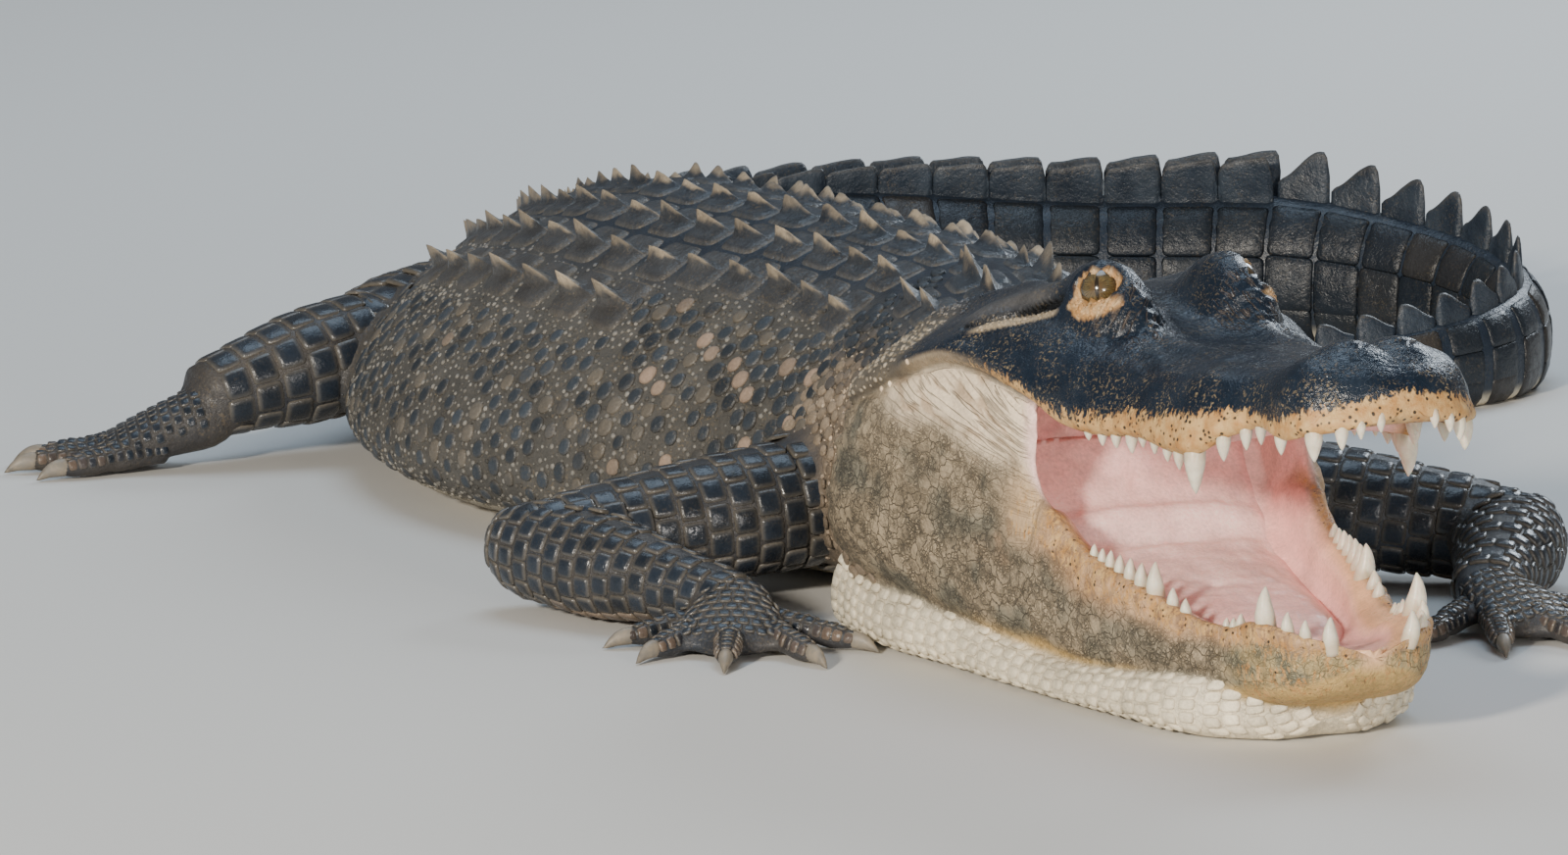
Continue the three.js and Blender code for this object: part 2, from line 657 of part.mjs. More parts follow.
// Limb lengths as tapered lofts: each place has a centre, a half width and a half height
function limbRings(stations, sides) {
  const centres = stations.map(([x, y, z]) => new THREE.Vector3(x, y, z));
  return stations.map(([, , , wide, high], i) => {
    const ahead = centres[Math.min(i + 1, centres.length - 1)];
    const behind = centres[Math.max(i - 1, 0)];
    const along = ahead.clone().sub(behind).normalize();
    const across = new THREE.Vector3().crossVectors(along, up).normalize();
    const over = new THREE.Vector3().crossVectors(across, along);
    const ring = [];
    for (let j = 0; j < sides; j += 1) {
      const a = (2 * Math.PI * j) / sides;
      ring.push(centres[i].clone().addScaledVector(across, wide * power(Math.cos(a), 0.9))
        .addScaledVector(over, high * power(Math.sin(a), 0.9)));
    }
    return ring;
  });
}

const LIMB_SIDES = 12;

// Digits spread from the end of a palm
function digits(wrist, heading, spread, lengths, radius) {
  const pieces = [];
  lengths.forEach((length, i) => {
    const turn = radians(heading + lerp(-spread, spread, i / (lengths.length - 1)));
    const out = new THREE.Vector3(Math.sin(turn), -Math.cos(turn), 0);
    const at = (d, z) => wrist.clone().addScaledVector(out, d).setZ(z);
    const stations = [[0.5, radius + 6, 1.2], [0.75, radius + 3, 1.1], [1, radius, 0.7]]
      .map(([d, z, r]) => [...at(d * length, z).toArray(), radius * r, radius * r]);
    pieces.push(loft(limbRings(stations, DIGIT_SIDES)));
    pieces.push(spike(at(length - 4, radius), at(length + 19, 4), radius * 0.6, CLAW_SIDES));
  });
  return pieces;
}

const placeOf = (point, wide, high) => [point[0], point[1], point[2], wide, high];

// Forelimb joints and hind limb joints, right side then left side
const LIMBS = {
  right: {
    shoulder: [-18, -416, 66], elbow: [-230, -434, 42], wrist: [-128, -574, 26],
    hand: -18, hip: [-46, 394, 66], knee: [-194, 246, 78], ankle: [-330, 208, 50], foot: -100,
  },
  left: {
    shoulder: [240, -414, 66], elbow: [446, -516, 34], wrist: [376, -654, 24],
    hand: 20, hip: [86, 372, 66], knee: [238, 262, 66], ankle: [300, 400, 36], foot: 66,
  },
};

function upperArmRings(limb) {
  const [a, b] = [new THREE.Vector3(...limb.shoulder), new THREE.Vector3(...limb.elbow)];
  const at = (t) => a.clone().lerp(b, t).toArray();
  return limbRings([
    placeOf(at(0), 50, 44), placeOf(at(0.4), 46, 41), placeOf(at(0.75), 39, 36), placeOf(at(1.0), 33, 32),
    placeOf(at(1.12), 20, 20),
  ], LIMB_SIDES);
}

function forearmRings(limb) {
  const [a, b] = [new THREE.Vector3(...limb.elbow), new THREE.Vector3(...limb.wrist)];
  const at = (t) => a.clone().lerp(b, t).toArray();
  return limbRings([
    placeOf(at(-0.14), 20, 22), placeOf(at(0.0), 33, 32), placeOf(at(0.3), 36, 33), placeOf(at(0.7), 27, 24),
    placeOf(at(1.0), 24, 17),
  ], LIMB_SIDES);
}

function handSolids(limb) {
  const [a, b] = [new THREE.Vector3(...limb.elbow), new THREE.Vector3(...limb.wrist)];
  const out = new THREE.Vector3(Math.sin(radians(limb.hand)), -Math.cos(radians(limb.hand)), 0);
  const at = (d, z) => b.clone().addScaledVector(out, d).setZ(z).toArray();
  const start = a.clone().lerp(b, 0.9).toArray();
  const palm = loft(limbRings([
    placeOf(start, 22, 15), placeOf(at(12, 20), 26, 15), placeOf(at(36, 14), 34, 13), placeOf(at(62, 9), 32, 8),
  ], LIMB_SIDES));
  const lengths = [78, 94, 108, 106, 92];
  if (limb === LIMBS.left) lengths.reverse();
  return [palm, ...digits(b, limb.hand, 66, lengths, 8.5)];
}

function thighRings(limb) {
  const [a, b] = [new THREE.Vector3(...limb.hip), new THREE.Vector3(...limb.knee)];
  const at = (t) => a.clone().lerp(b, t).toArray();
  return limbRings([
    placeOf(at(0), 70, 42), placeOf(at(0.4), 66, 55), placeOf(at(0.7), 56, 53), placeOf(at(1.0), 46, 44),
    placeOf(at(1.14), 30, 30),
  ], LIMB_SIDES);
}

function shankRings(limb) {
  const [a, b] = [new THREE.Vector3(...limb.knee), new THREE.Vector3(...limb.ankle)];
  const at = (t) => a.clone().lerp(b, t).toArray();
  return limbRings([
    placeOf(at(-0.1), 30, 30), placeOf(at(0.05), 43, 42), placeOf(at(0.35), 44, 41), placeOf(at(0.75), 33, 32),
    placeOf(at(1.0), 27, 25),
  ], LIMB_SIDES);
}

function footSolids(limb) {
  const [a, b] = [new THREE.Vector3(...limb.knee), new THREE.Vector3(...limb.ankle)];
  const out = new THREE.Vector3(Math.sin(radians(limb.foot)), -Math.cos(radians(limb.foot)), 0);
  const at = (d, z) => b.clone().addScaledVector(out, d).setZ(z).toArray();
  const start = a.clone().lerp(b, 0.93).toArray();
  const palm = loft(limbRings([
    placeOf(start, 25, 24), placeOf(at(16, 38), 28, 22), placeOf(at(42, 24), 33, 17), placeOf(at(76, 11), 38, 9),
  ], LIMB_SIDES));
  const base = b.clone().setZ(28);
  return [palm, ...digits(base, limb.foot, 25, [104, 124, 130, 118], 9.5)];
}

// Meshes
function meshOf(name, solid, colour, roughness) {
  const kept = largest(solid);
  const { vertProperties, triVerts } = kept.getMesh();
  const geometry = new THREE.BufferGeometry();
  geometry.setAttribute('position', new THREE.BufferAttribute(new Float32Array(vertProperties), 3));
  geometry.setIndex(new THREE.BufferAttribute(new Uint32Array(triVerts), 1));
  geometry.computeVertexNormals();
  const material = new THREE.MeshStandardMaterial({ color: colour, roughness, metalness: 0 });
  const mesh = new THREE.Mesh(geometry, material);
  mesh.name = name;
  return mesh;
}

const HIDE = '#1d2329';
const FLANK = '#4b4a42';
const JAW = '#9a8c6b';
const THROAT = '#cfc4a4';
const MOUTH = '#d9938c';
const IRIS = '#6c6132';

const alligator = new THREE.Group();

function buildHead() {
  const solids = [loft(headRings), ...upperTeeth()];
  const spaces = [];
  for (const hand of [-1, 1]) {
    const both = ({ x, y, z, radii }, sides, rows) => ball([x, y * hand, z], headMatrix, radii, sides, rows);
    solids.push(both(EYE_MOUND, 12, 7), both(NOSTRIL, 8, 5), both(EAR_FLAP, 10, 6));
    const { x, y, z, radius } = EYE;
    for (const lift of [-LID_LIFT, LID_LIFT]) {
      solids.push(ball([x + 7, (y + 9) * hand, z + lift], headMatrix, LID_RADII, 10, 5));
    }
    spaces.push(ball([x, y * hand, z], headMatrix, [radius + GAP, radius + GAP, radius + GAP], 12, 8));
    spaces.push(ball([x + 10, (y + 12) * hand, z + 2], headMatrix, [11, 11, 8.5], 10, 7));
    spaces.push(both(EAR_SLIT, 10, 4));
    spaces.push(ball([NOSTRIL.x + 6, NOSTRIL.y * hand, NOSTRIL.z + 10], headMatrix, [6, 4.5, 5], 6, 4));
  }
  return spaces.reduce((solid, space) => solid.subtract(space), joined(solids));
}

function buildEyes() {
  return [['eye_right', -1], ['eye_left', 1]].map(([name, hand]) => {
    const { x, y, z, radius } = EYE;
    return meshOf(name, ball([x, y * hand, z], headMatrix, [radius, radius, radius], 12, 8), IRIS, 0.15);
  });
}

const headCutter = loft(swollen(headRings, GAP));
const jawCutter = loft(swollen(jawRings, GAP));

function buildLowerJaw() {
  const trough = loft(ringsAt(MOUTH_PLACES, troughRing));
  const hinge = loft(ringsAt(HINGE_PLACES, hingeRing));
  return joined([loft(jawRings).subtract(trough), hinge.subtract(trough), ...lowerTeeth()])
    .subtract(headCutter).subtract(belowFloor);
}

function buildTongue() {
  const ends = MOUTH_PLACES.map((x, i) => x + (i === 0 ? GAP : 0) - (i === MOUTH_PLACES.length - 1 ? GAP : 0));
  return loft(ringsAt(ends, tongueRing)).subtract(headCutter);
}

const throatRings = ringsAt(places(THROAT_STATIONS), throatRing);

alligator.add(meshOf('head', buildHead(), HIDE, 0.35));
alligator.add(...buildEyes());
const jawSolid = buildLowerJaw();
alligator.add(meshOf('lower_jaw', jawSolid, JAW, 0.6));
alligator.add(meshOf('tongue', buildTongue(), MOUTH, 0.35));
alligator.add(meshOf('throat', loft(throatRings).subtract(jawCutter).subtract(headCutter).subtract(belowFloor), THROAT, 0.7));

const hingeCutter = loft(swollen(ringsAt(HINGE_PLACES, hingeRing), GAP));
const throatCutter = loft(swollen(throatRings, GAP));
const NECK_PLACES = [NECK_FRONT, 0, 60, 120, 180, TRUNK_FRONT - GAP];
const shieldedNeck = joined([loft(NECK_PLACES.map(trunkRing)), ...nuchalShields()]);
const neckSolid = trimmedAlongSpine(shieldedNeck, NECK_FRONT - 1, TRUNK_FRONT - GAP)
  .subtract(headCutter).subtract(jawCutter).subtract(hingeCutter).subtract(throatCutter).subtract(belowFloor);
alligator.add(meshOf('neck', neckSolid, HIDE, 0.5));

const rowEnds = (front, rows) => Array.from({ length: rows + 1 }, (_, i) => front + i * ROW_PITCH);
const allRows = ROWS_PER_NODE.reduce((sum, rows) => sum + rows, 0);
const trunkCutter = loft(swollen([...NECK_PLACES, ...rowEnds(TRUNK_FRONT, allRows)].map(trunkRing), GAP));

TRUNK_NAMES.forEach((name, i) => {
  const places = rowEnds(trunkCuts[i], ROWS_PER_NODE[i]);
  const scutes = places.slice(0, -1).flatMap((s) => dorsalRow(s + ROW_PITCH / 2));
  places[places.length - 1] -= GAP;
  const solid = joined([loft(places.map(trunkRing)), ...scutes]).subtract(belowFloor);
  alligator.add(meshOf(name, trimmedAlongSpine(solid, places[0], places.at(-1)), FLANK, 0.6));
});

const tailCuts = [0, 5, 10, 15, 19, 24, 29, 36];
TAIL_NAMES.forEach((name, i) => {
  const front = whorls[tailCuts[i]];
  const back = whorls[tailCuts[i + 1]] - (i === TAIL_NAMES.length - 1 ? 0 : GAP);
  const plates = [];
  for (let k = tailCuts[i]; k < tailCuts[i + 1]; k += 1) plates.push(...whorlPlates(k));
  const ends = whorls.slice(tailCuts[i], tailCuts[i + 1] + 1);
  ends[ends.length - 1] = back;
  const solid = joined([loft(ends.map((s) => tailRing(s))), ...plates]).subtract(belowFloor);
  alligator.add(meshOf(name, trimmedAlongSpine(solid, front, back), HIDE, 0.5));
});

for (const [side, limb] of Object.entries(LIMBS)) {
  const upperArm = upperArmRings(limb);
  const forearm = forearmRings(limb);
  const thigh = thighRings(limb);
  const shank = shankRings(limb);
  const grown = (rings) => loft(swollen(rings, GAP));
  const add = (name, solid) => {
    alligator.add(meshOf(`${name}_${side}`, solid.subtract(trunkCutter).subtract(belowFloor), HIDE, 0.4));
  };
  add('upper_arm', loft(upperArm));
  add('forearm', loft(forearm).subtract(grown(upperArm)));
  add('hand', joined(handSolids(limb)).subtract(grown(forearm)));
  add('thigh', loft(thigh));
  add('shank', loft(shank).subtract(grown(thigh)));
  add('foot', joined(footSolids(limb)).subtract(grown(shank)));
}

export default alligator;
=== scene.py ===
"""American alligator, life size, lying on a pale floor with its mouth open.

One skin covers the whole animal. Scales, keeled scutes, tail crests, teeth, claws, eyes and the
floor of the mouth are pieces of their own on it. Sizes are in millimetres until a mesh is made.
A tone is a linear colour for each point, and a look is one value for each of LOOKS.
"""

import logging
import math
from collections.abc import Callable, Iterator
from dataclasses import dataclass, field
from enum import Enum
from itertools import product

import bpy
import numpy as np
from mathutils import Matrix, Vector
from mathutils.bvhtree import BVHTree
from mathutils.kdtree import KDTree


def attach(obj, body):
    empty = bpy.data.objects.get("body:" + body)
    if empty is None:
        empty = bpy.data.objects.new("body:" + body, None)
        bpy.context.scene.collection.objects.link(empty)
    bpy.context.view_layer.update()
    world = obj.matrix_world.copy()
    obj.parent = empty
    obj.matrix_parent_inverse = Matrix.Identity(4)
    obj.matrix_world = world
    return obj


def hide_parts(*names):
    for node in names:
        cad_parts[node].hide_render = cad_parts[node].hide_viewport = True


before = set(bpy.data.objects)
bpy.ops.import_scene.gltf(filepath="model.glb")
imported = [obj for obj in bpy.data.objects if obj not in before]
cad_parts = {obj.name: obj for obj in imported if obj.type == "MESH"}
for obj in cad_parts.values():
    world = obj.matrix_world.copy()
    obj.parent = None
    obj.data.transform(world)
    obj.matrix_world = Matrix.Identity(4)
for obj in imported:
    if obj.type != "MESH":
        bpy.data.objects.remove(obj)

Array = np.ndarray
Curve = Callable[[Array], Array]
Object = bpy.types.Object
Material = bpy.types.Material
Socket = bpy.types.NodeSocket
Part = tuple[Array, Array, Array, Array, Array]  # points, triangles, tones, looks, unwrap places

log = logging.getLogger("alligator")
MM = 0.001
SEED = 7
HANDS = (-1, 1)
LOOKS = ("wet", "grain", "crack", "speck", "lip", "grit", "bead", "fold", "fold_u", "fold_v", "root_u", "root_v")


def monotone(places: tuple) -> Curve:
    """Smooth curve through a few places, without overshoot.

    Args:
        places: (x, y) pairs in rising x.

    Returns:
        A function of an array of x.
    """
    xs, ys = np.array(places, float).T
    width = np.diff(xs)
    slope = np.diff(ys) / width
    product_, total = slope[:-1] * slope[1:], slope[:-1] + slope[1:]
    inner = np.where(product_ > 0, 2 * product_ / np.where(total == 0, 1, total), 0)
    tangent = np.concatenate([slope[:1], inner, slope[-1:]])

    def at(x: Array) -> Array:
        """Height of the curve at x."""
        x = np.clip(np.asarray(x, float), xs[0], xs[-1])
        i = np.clip(np.searchsorted(xs, x, "right") - 1, 0, len(xs) - 2)
        t = (x - xs[i]) / width[i]
        t2, t3 = t * t, t * t * t
        start = (2 * t3 - 3 * t2 + 1) * ys[i] + (t3 - 2 * t2 + t) * width[i] * tangent[i]
        return start + (3 * t2 - 2 * t3) * ys[i + 1] + (t3 - t2) * width[i] * tangent[i + 1]

    return at


def column(stations: tuple, index: int) -> Curve:
    """Smooth curve of one column of a table of stations."""
    return monotone([(row[0], row[index]) for row in stations])


def smoothstep(x: Array, low: float, high: float) -> Array:
    """0 below low, 1 above high, smooth between."""
    t = np.clip((np.asarray(x, float) - low) / (high - low), 0, 1)
    return t * t * (3 - 2 * t)


def fade(x: Array, low: float, high: float) -> Array:
    """1 below low, 0 above high, smooth between."""
    return 1 - smoothstep(x, low, high)


def hump(x: Array, middle: float | Array, width: float | Array, power: int = 2) -> Array:
    """1 in the middle, falling to 0 on both sides."""
    return np.exp(-(((x - middle) / width) ** power))


def lerp(a: float | Array, b: float | Array, t: float | Array) -> float | Array:
    """Straight mix of a and b."""
    return a + (b - a) * t


def mix(a: Array, b: Array | tuple, t: Array) -> Array:
    """Mix of colours by a weight for each point."""
    return a + (b - a) * np.clip(np.asarray(t, float), 0, 1)[..., None]


def flat_tone(colour: Array | tuple, count: int) -> Array:
    """The same colour for every point."""
    return np.tile(colour, (count, 1)).astype(float)


def unit(v: Array) -> Array:
    """Vectors of length one."""
    return v / np.maximum(np.linalg.norm(v, axis=-1, keepdims=True), 1e-9)


def power_of(wave: Array, power: float | Array) -> Array:
    """Power that keeps the sign."""
    return np.sign(wave) * np.abs(wave) ** power


def hashed(cells: Array, seed: int) -> Array:
    """Even random number from 0 to 1 for each whole-number cell.

    Args:
        cells: three numbers for each cell.
        seed: chooses the numbers.

    Returns:
        One number for each cell.
    """
    c = np.asarray(cells).astype(np.int64)
    h = c[..., 0] * 73856093 ^ c[..., 1] * 19349663 ^ c[..., 2] * 83492791 ^ seed * 2654435761
    h = (h ^ (h >> 13)) * 1274126177
    return ((h ^ (h >> 16)) & 0xFFFFFF) / float(0xFFFFFF)


def noise(p: Array, size: float, seed: int = 0) -> Array:
    """Smooth noise from -1 to 1.

    Args:
        p: points.
        size: about the size of its features.
        seed: chooses the noise.

    Returns:
        One value for each point.
    """
    q = p / size
    base = np.floor(q)
    t = q - base
    t = t * t * (3 - 2 * t)
    total = np.zeros(q.shape[:-1])
    for corner in product((0, 1), repeat=3):
        x, y, z = (t[..., k] if corner[k] else 1 - t[..., k] for k in range(3))
        total += hashed(base + np.array(corner), seed) * (x * y * z)
    return total * 2 - 1


def fractal(p: Array, size: float, seed: int = 0, octaves: int = 3) -> Array:
    """Sum of noises, each half the size and half as strong as the last."""
    total = sum(noise(p, size / 2**i, seed + i) / 2**i for i in range(octaves))
    return total / (2 - 2 ** (1 - octaves))


def outward_of(along: Array, around: Array, away: Array) -> Array:
    """Directions square to two others, turned to the side of a third.

    Args:
        along: first directions.
        around: second directions.
        away: the side to turn to.

    Returns:
        Directions of length one.
    """
    outward = unit(np.cross(along, around))
    outward[np.sum(outward * away, -1) < 0] *= -1
    return outward


# Measurements
SPINE_BENDS = (
    (-100, 2), (0, -7), (140, -6), (290, 14), (420, 19), (560, 14), (720, 3), (880, -6), (1020, -11),
    (1150, -28), (1300, -62), (1440, -90), (1560, -103), (1700, -109), (1780, -121), (1870, -138),
    (1955, -160), (2035, -182), (2150, -226), (2240, -258), (2340, -278), (2520, -292),
)
# distance behind the jaw joint, half width, height, height of the widest place, squareness
BODY_STATIONS = (
    (-70, 126, 186, 84, 2.2), (0, 140, 204, 86, 2.2), (100, 136, 214, 84, 2.1), (200, 146, 219, 76, 1.95),
    (330, 176, 224, 64, 1.75), (460, 212, 227, 56, 1.62), (620, 234, 226, 50, 1.56), (760, 222, 208, 50, 1.6),
    (860, 186, 190, 52, 1.7), (940, 154, 171, 54, 1.85), (1020, 126, 154, 56, 2), (1120, 108, 142, 58, 2),
    (1250, 88, 135, 58, 2), (1450, 66, 126, 54, 2), (1650, 49, 116, 50, 2), (1780, 41, 118, 48, 2),
    (1900, 34, 106, 44, 2), (2030, 28, 90, 38, 2), (2200, 20, 68, 28, 2), (2400, 11, 40, 16, 2), (2520, 5, 20, 9, 2),
)
MID_TRUNK = 620.0
JAW_JOINT_HEIGHT = 121
HEAD_HEADING = 10.9
HEAD_ASIDE = 13
HEAD_PITCH = 10.3
JAW_PITCH = -6.1
# x forward from the jaw joint, half width, height of the lip, height of the top
HEAD_STATIONS = (
    (-34, 128, 40, 94), (0, 140, 46, 103), (40, 141, 54, 107), (84, 134, 62, 110), (120, 128, 66, 110),
    (150, 121, 60, 108), (180, 115, 49, 104), (205, 109, 36, 97), (230, 102, 20, 83), (263, 95, 12, 70),
    (308, 88, 8, 61), (348, 87, -2, 56), (373, 85, -5, 52), (398, 75, 4, 50), (426, 62, 9, 49),
    (448, 64, 3, 52), (467, 66, 0, 55), (487, 60, 2, 51), (501, 48, 3, 42), (509, 34, 5, 35), (514, 12, 9, 27),
)
# x, half width, height of the edge, height of the underside
JAW_STATIONS = (
    (-40, 136, 20, -86), (0, 142, 22, -88), (50, 139, 22, -86), (90, 131, 18, -86), (130, 123, 16, -88),
    (180, 114, 24, -89), (208, 108, 26, -88), (232, 103, 14, -86), (256, 99, 6, -83), (288, 94, 2, -77),
    (324, 86, -3, -69), (360, 76, -8, -61), (390, 68, -6, -56), (414, 65, 4, -52), (434, 59, 6, -47),
    (449, 50, 4, -40), (460, 37, 2, -31), (467, 14, -4, -20),
)
# x, half width, height above the floor
THROAT_STATIONS = (
    (-60, 120, 0), (20, 128, 0), (100, 120, 0), (180, 114, 0), (260, 106, 0), (330, 96, 0), (370, 86, 0),
    (396, 62, 3), (410, 40, 9), (420, 20, 20),
)
# x, length, radius
UPPER_TEETH = (
    (512, 7, 3), (508.5, 8, 3.2), (502, 12, 4.4), (487, 17, 5.8), (453, 11, 4.2), (424, 11, 3.8), (412, 12, 4.2),
    (396, 14, 4.8), (371, 25, 7), (355, 11, 4), (341, 8, 3.4), (325, 7, 3.2), (310, 6, 3.2),
    (296, 11, 4.4), (280, 8, 3.8), (266, 7, 3.4), (252, 5, 3.2),
)
LOWER_TEETH = (
    (461, 17, 5.2), (451, 11, 4), (440, 12, 4.2), (421, 25, 6.6), (398, 9, 3.8), (391, 7, 3.2),
    (384, 6, 3), (346, 9, 3.8), (334, 11, 4.2), (316, 21, 6), (303, 15, 5), (292, 14, 4.6),
    (281, 12, 4.2), (271, 11, 4), (262, 9, 3.6), (253, 8, 3.4),
)
EYE = (208.0, 49.0, 105.0)
EYE_RADIUS = 14.5

# Linear colours
BLUE_BLACK = np.array([0.012, 0.018, 0.028])
SLATE = np.array([0.045, 0.058, 0.075])
GREY_TAN = np.array([0.17, 0.145, 0.11])
JAW_BEIGE = np.array([0.40, 0.32, 0.215])
JAW_DARK = np.array([0.16, 0.155, 0.12])
CREAM = np.array([0.72, 0.62, 0.44])
PALE_CHEEK = np.array([0.80, 0.66, 0.48])
THROAT_CREAM = np.array([0.74, 0.66, 0.50])
GUM = np.array([0.70, 0.42, 0.24])
PINK = np.array([0.84, 0.47, 0.43])
NECK_BROWN = np.array([0.26, 0.20, 0.14])
LEG_LINE = np.array([0.30, 0.26, 0.20])
BONE = np.array([0.38, 0.31, 0.22])
IVORY = np.array([0.80, 0.74, 0.60])
HORN_TAN = np.array([0.20, 0.18, 0.15])


@dataclass
class Shape:
    """A closed surface with a look for each point, before it becomes a mesh.

    Attributes:
        points: places in mm.
        faces: quads and triangles as lists of indices.
        tone: colour of each point.
        look: the first columns of LOOKS; the others are 0.
        relax: how far from a seam, in mm, the skin may be smoothed.
        sides: points of a ring.
    """

    points: Array
    faces: list
    tone: Array
    look: Array
    relax: float = 12.0
    sides: int = 1

    def __post_init__(self) -> None:
        """Fills up the columns that aren't given."""
        self.tone = np.clip(self.tone, 0, 1)
        self.look = np.pad(self.look, ((0, 0), (0, len(LOOKS) - self.look.shape[1])))

    def unwrap(self, number: int) -> None:
        """Lays the loft out flat in one of 49 squares, as the root places of what grows on it."""
        index = np.arange(len(self.points) - 2)
        rings = len(index) // self.sides
        u = np.append(index // self.sides, [0, rings - 1]) / rings
        v = np.append(index % self.sides, [0, 0]) / self.sides
        self.look[:, -2] = (number % 7 + 0.1 + 0.8 * u) / 7
        self.look[:, -1] = (number // 7 + 0.1 + 0.8 * v) / 7


def ring_normals(p: Array) -> Array:
    """Outward directions on a grid of rings."""
    normal = unit(np.cross(np.gradient(p, axis=0), np.roll(p, -1, 1) - np.roll(p, 1, 1)))
    return -normal if np.sum(np.sum(normal * (p - p.mean(1, keepdims=True)), -1)) < 0 else normal


def outwards(points: Array, triangles: Array) -> Array:
    """The triangles, turned round if they face inwards."""
    a, b, c = (points[triangles[:, k]] for k in range(3))
    return triangles[:, ::-1] if np.sum(a * np.cross(b, c)) < 0 else triangles


def loft(rings: Array) -> tuple[Array, list]:
    """Closed surface through rings of points, with a fan at each end.

    Args:
        rings: (rings, sides, 3) places.

    Returns:
        The points, with the middles of both ends last, and the faces.
    """
    count, sides = rings.shape[:2]
    i, j = np.meshgrid(np.arange(count - 1), np.arange(sides), indexing="ij")
    a, b = i * sides + j, i * sides + (j + 1) % sides
    quads = np.stack([a, b, b + sides, a + sides], -1).reshape(-1, 4)
    points = np.concatenate([rings.reshape(-1, 3), [rings[0].mean(0), rings[-1].mean(0)]])
    n, last = count * sides, (count - 1) * sides
    j = np.arange(sides)
    k = (j + 1) % sides
    fans = np.concatenate([np.stack([k, j, 0 * j + n], -1), np.stack([last + j, last + k, 0 * j + n + 1], -1)])
    split = np.concatenate([quads[:, [0, 1, 2]], quads[:, [0, 2, 3]], fans])
    faces = quads.tolist() + fans.tolist()
    if outwards(points, split) is not split:
        faces = [face[::-1] for face in faces]
    return points, faces


def sections(x: Array, controls: list[tuple], counts: tuple[int, ...]) -> Array:
    """Smooth rings across an axis, the same on both sides.

    Args:
        x: place of each ring on the axis.
        controls: (side, height) from the middle of the underside to the middle of the top.
        counts: points on each stretch between two controls.

    Returns:
        (rings, points, 3) places.
    """
    control = np.stack([np.stack([side + 0 * x, height + 0 * x], -1) for side, height in controls], 1)
    flip = np.array([-1, 1])
    padded = np.concatenate([control[:, 1:2] * flip, control, control[:, -2:-1] * flip], 1)
    stretches = []
    for k, count in enumerate(counts):
        p0, p1, p2, p3 = (padded[:, k + d][:, None] for d in range(4))
        t = (np.arange(count) / count)[None, :, None]
        curve = 2 * p1 + (p2 - p0) * t + (2 * p0 - 5 * p1 + 4 * p2 - p3) * t**2
        stretches.append(0.5 * (curve + (3 * p1 - p0 - 3 * p2 + p3) * t**3))
    half = np.concatenate(stretches, 1)
    flat = np.concatenate([half, control[:, -1:], half[:, :0:-1] * flip], 1)
    return np.concatenate([np.broadcast_to(x[:, None, None], flat.shape[:2] + (1,)), flat], -1)


def mesh_object(name: str, points: Array, faces: list) -> Object:
    """Object at the origin with a smooth mesh in metres."""
    mesh = bpy.data.meshes.new(name)
    mesh.from_pydata((points * MM).tolist(), [], faces)
    return placed(name, mesh)


def placed(name: str, mesh: bpy.types.Mesh) -> Object:
    """Object at the origin that shows a mesh, shaded smooth.

    Args:
        name: of the object.
        mesh: what it shows.

    Returns:
        The object.
    """
    made = bpy.data.objects.new(name, mesh)
    bpy.context.scene.collection.objects.link(made)
    mesh.polygons.foreach_set("use_smooth", [True] * len(mesh.polygons))
    mesh.update()
    return made


def store(mesh: bpy.types.Mesh, name: str, kind: str, values: Array) -> None:
    """Writes one value, vector or colour for each point as an attribute of the mesh."""
    slot = {"FLOAT": "value", "FLOAT_VECTOR": "vector", "FLOAT_COLOR": "color"}[kind]
    mesh.attributes.new(name, kind, "POINT").data.foreach_set(slot, values.astype(np.float32).ravel())


def store_look(mesh: bpy.types.Mesh, tone: Array, look: Array) -> None:
    """Writes the colour and the look of each point as attributes of the mesh."""
    store(mesh, "tone", "FLOAT_COLOR", np.concatenate([np.clip(tone, 0, 1), np.ones((len(tone), 1))], 1))
    for name, values in zip(LOOKS, look.T):
        store(mesh, name, "FLOAT", values)


@dataclass
class Spine:
    """The line down the middle of the animal, on the floor plan.

    Attributes:
        start: where it begins, as a distance behind the jaw joint.
        end: where it ends.
        step: distance of the places it is made from.
    """

    start: float = -100.0
    end: float = 2530.0
    step: float = 5.0

    def __post_init__(self) -> None:
        """Lays the places out along the bends."""
        self.heading = monotone(SPINE_BENDS)
        h = np.radians(self.heading(np.arange(self.start, self.end, self.step) + self.step / 2))
        back = np.stack([-np.sin(h), np.cos(h)], -1) * self.step
        self.places = np.concatenate([[[0, 0]], np.cumsum(back, 0)])
        self.marks = self.start + np.arange(len(self.places)) * self.step

    def _along(self, s: Array) -> Array:
        """Place on the floor plan, before it is moved to the middle of the trunk."""
        return np.stack([np.interp(s, self.marks, self.places[:, k]) for k in range(2)], -1)

    def frame(self, s: Array) -> tuple[Array, Array, Array]:
        """Axes of the animal.

        Args:
            s: distances behind the jaw joint.

        Returns:
            Place on the floor, forward and left directions.
        """
        s = np.asarray(s, float)
        flat = self._along(s) - self._along(np.array(MID_TRUNK))
        h = np.radians(self.heading(s))
        zero = np.zeros_like(h)
        place = np.concatenate([flat, zero[..., None]], -1)
        return place, np.stack([np.sin(h), -np.cos(h), zero], -1), np.stack([np.cos(h), np.sin(h), zero], -1)


SPINE = Spine()


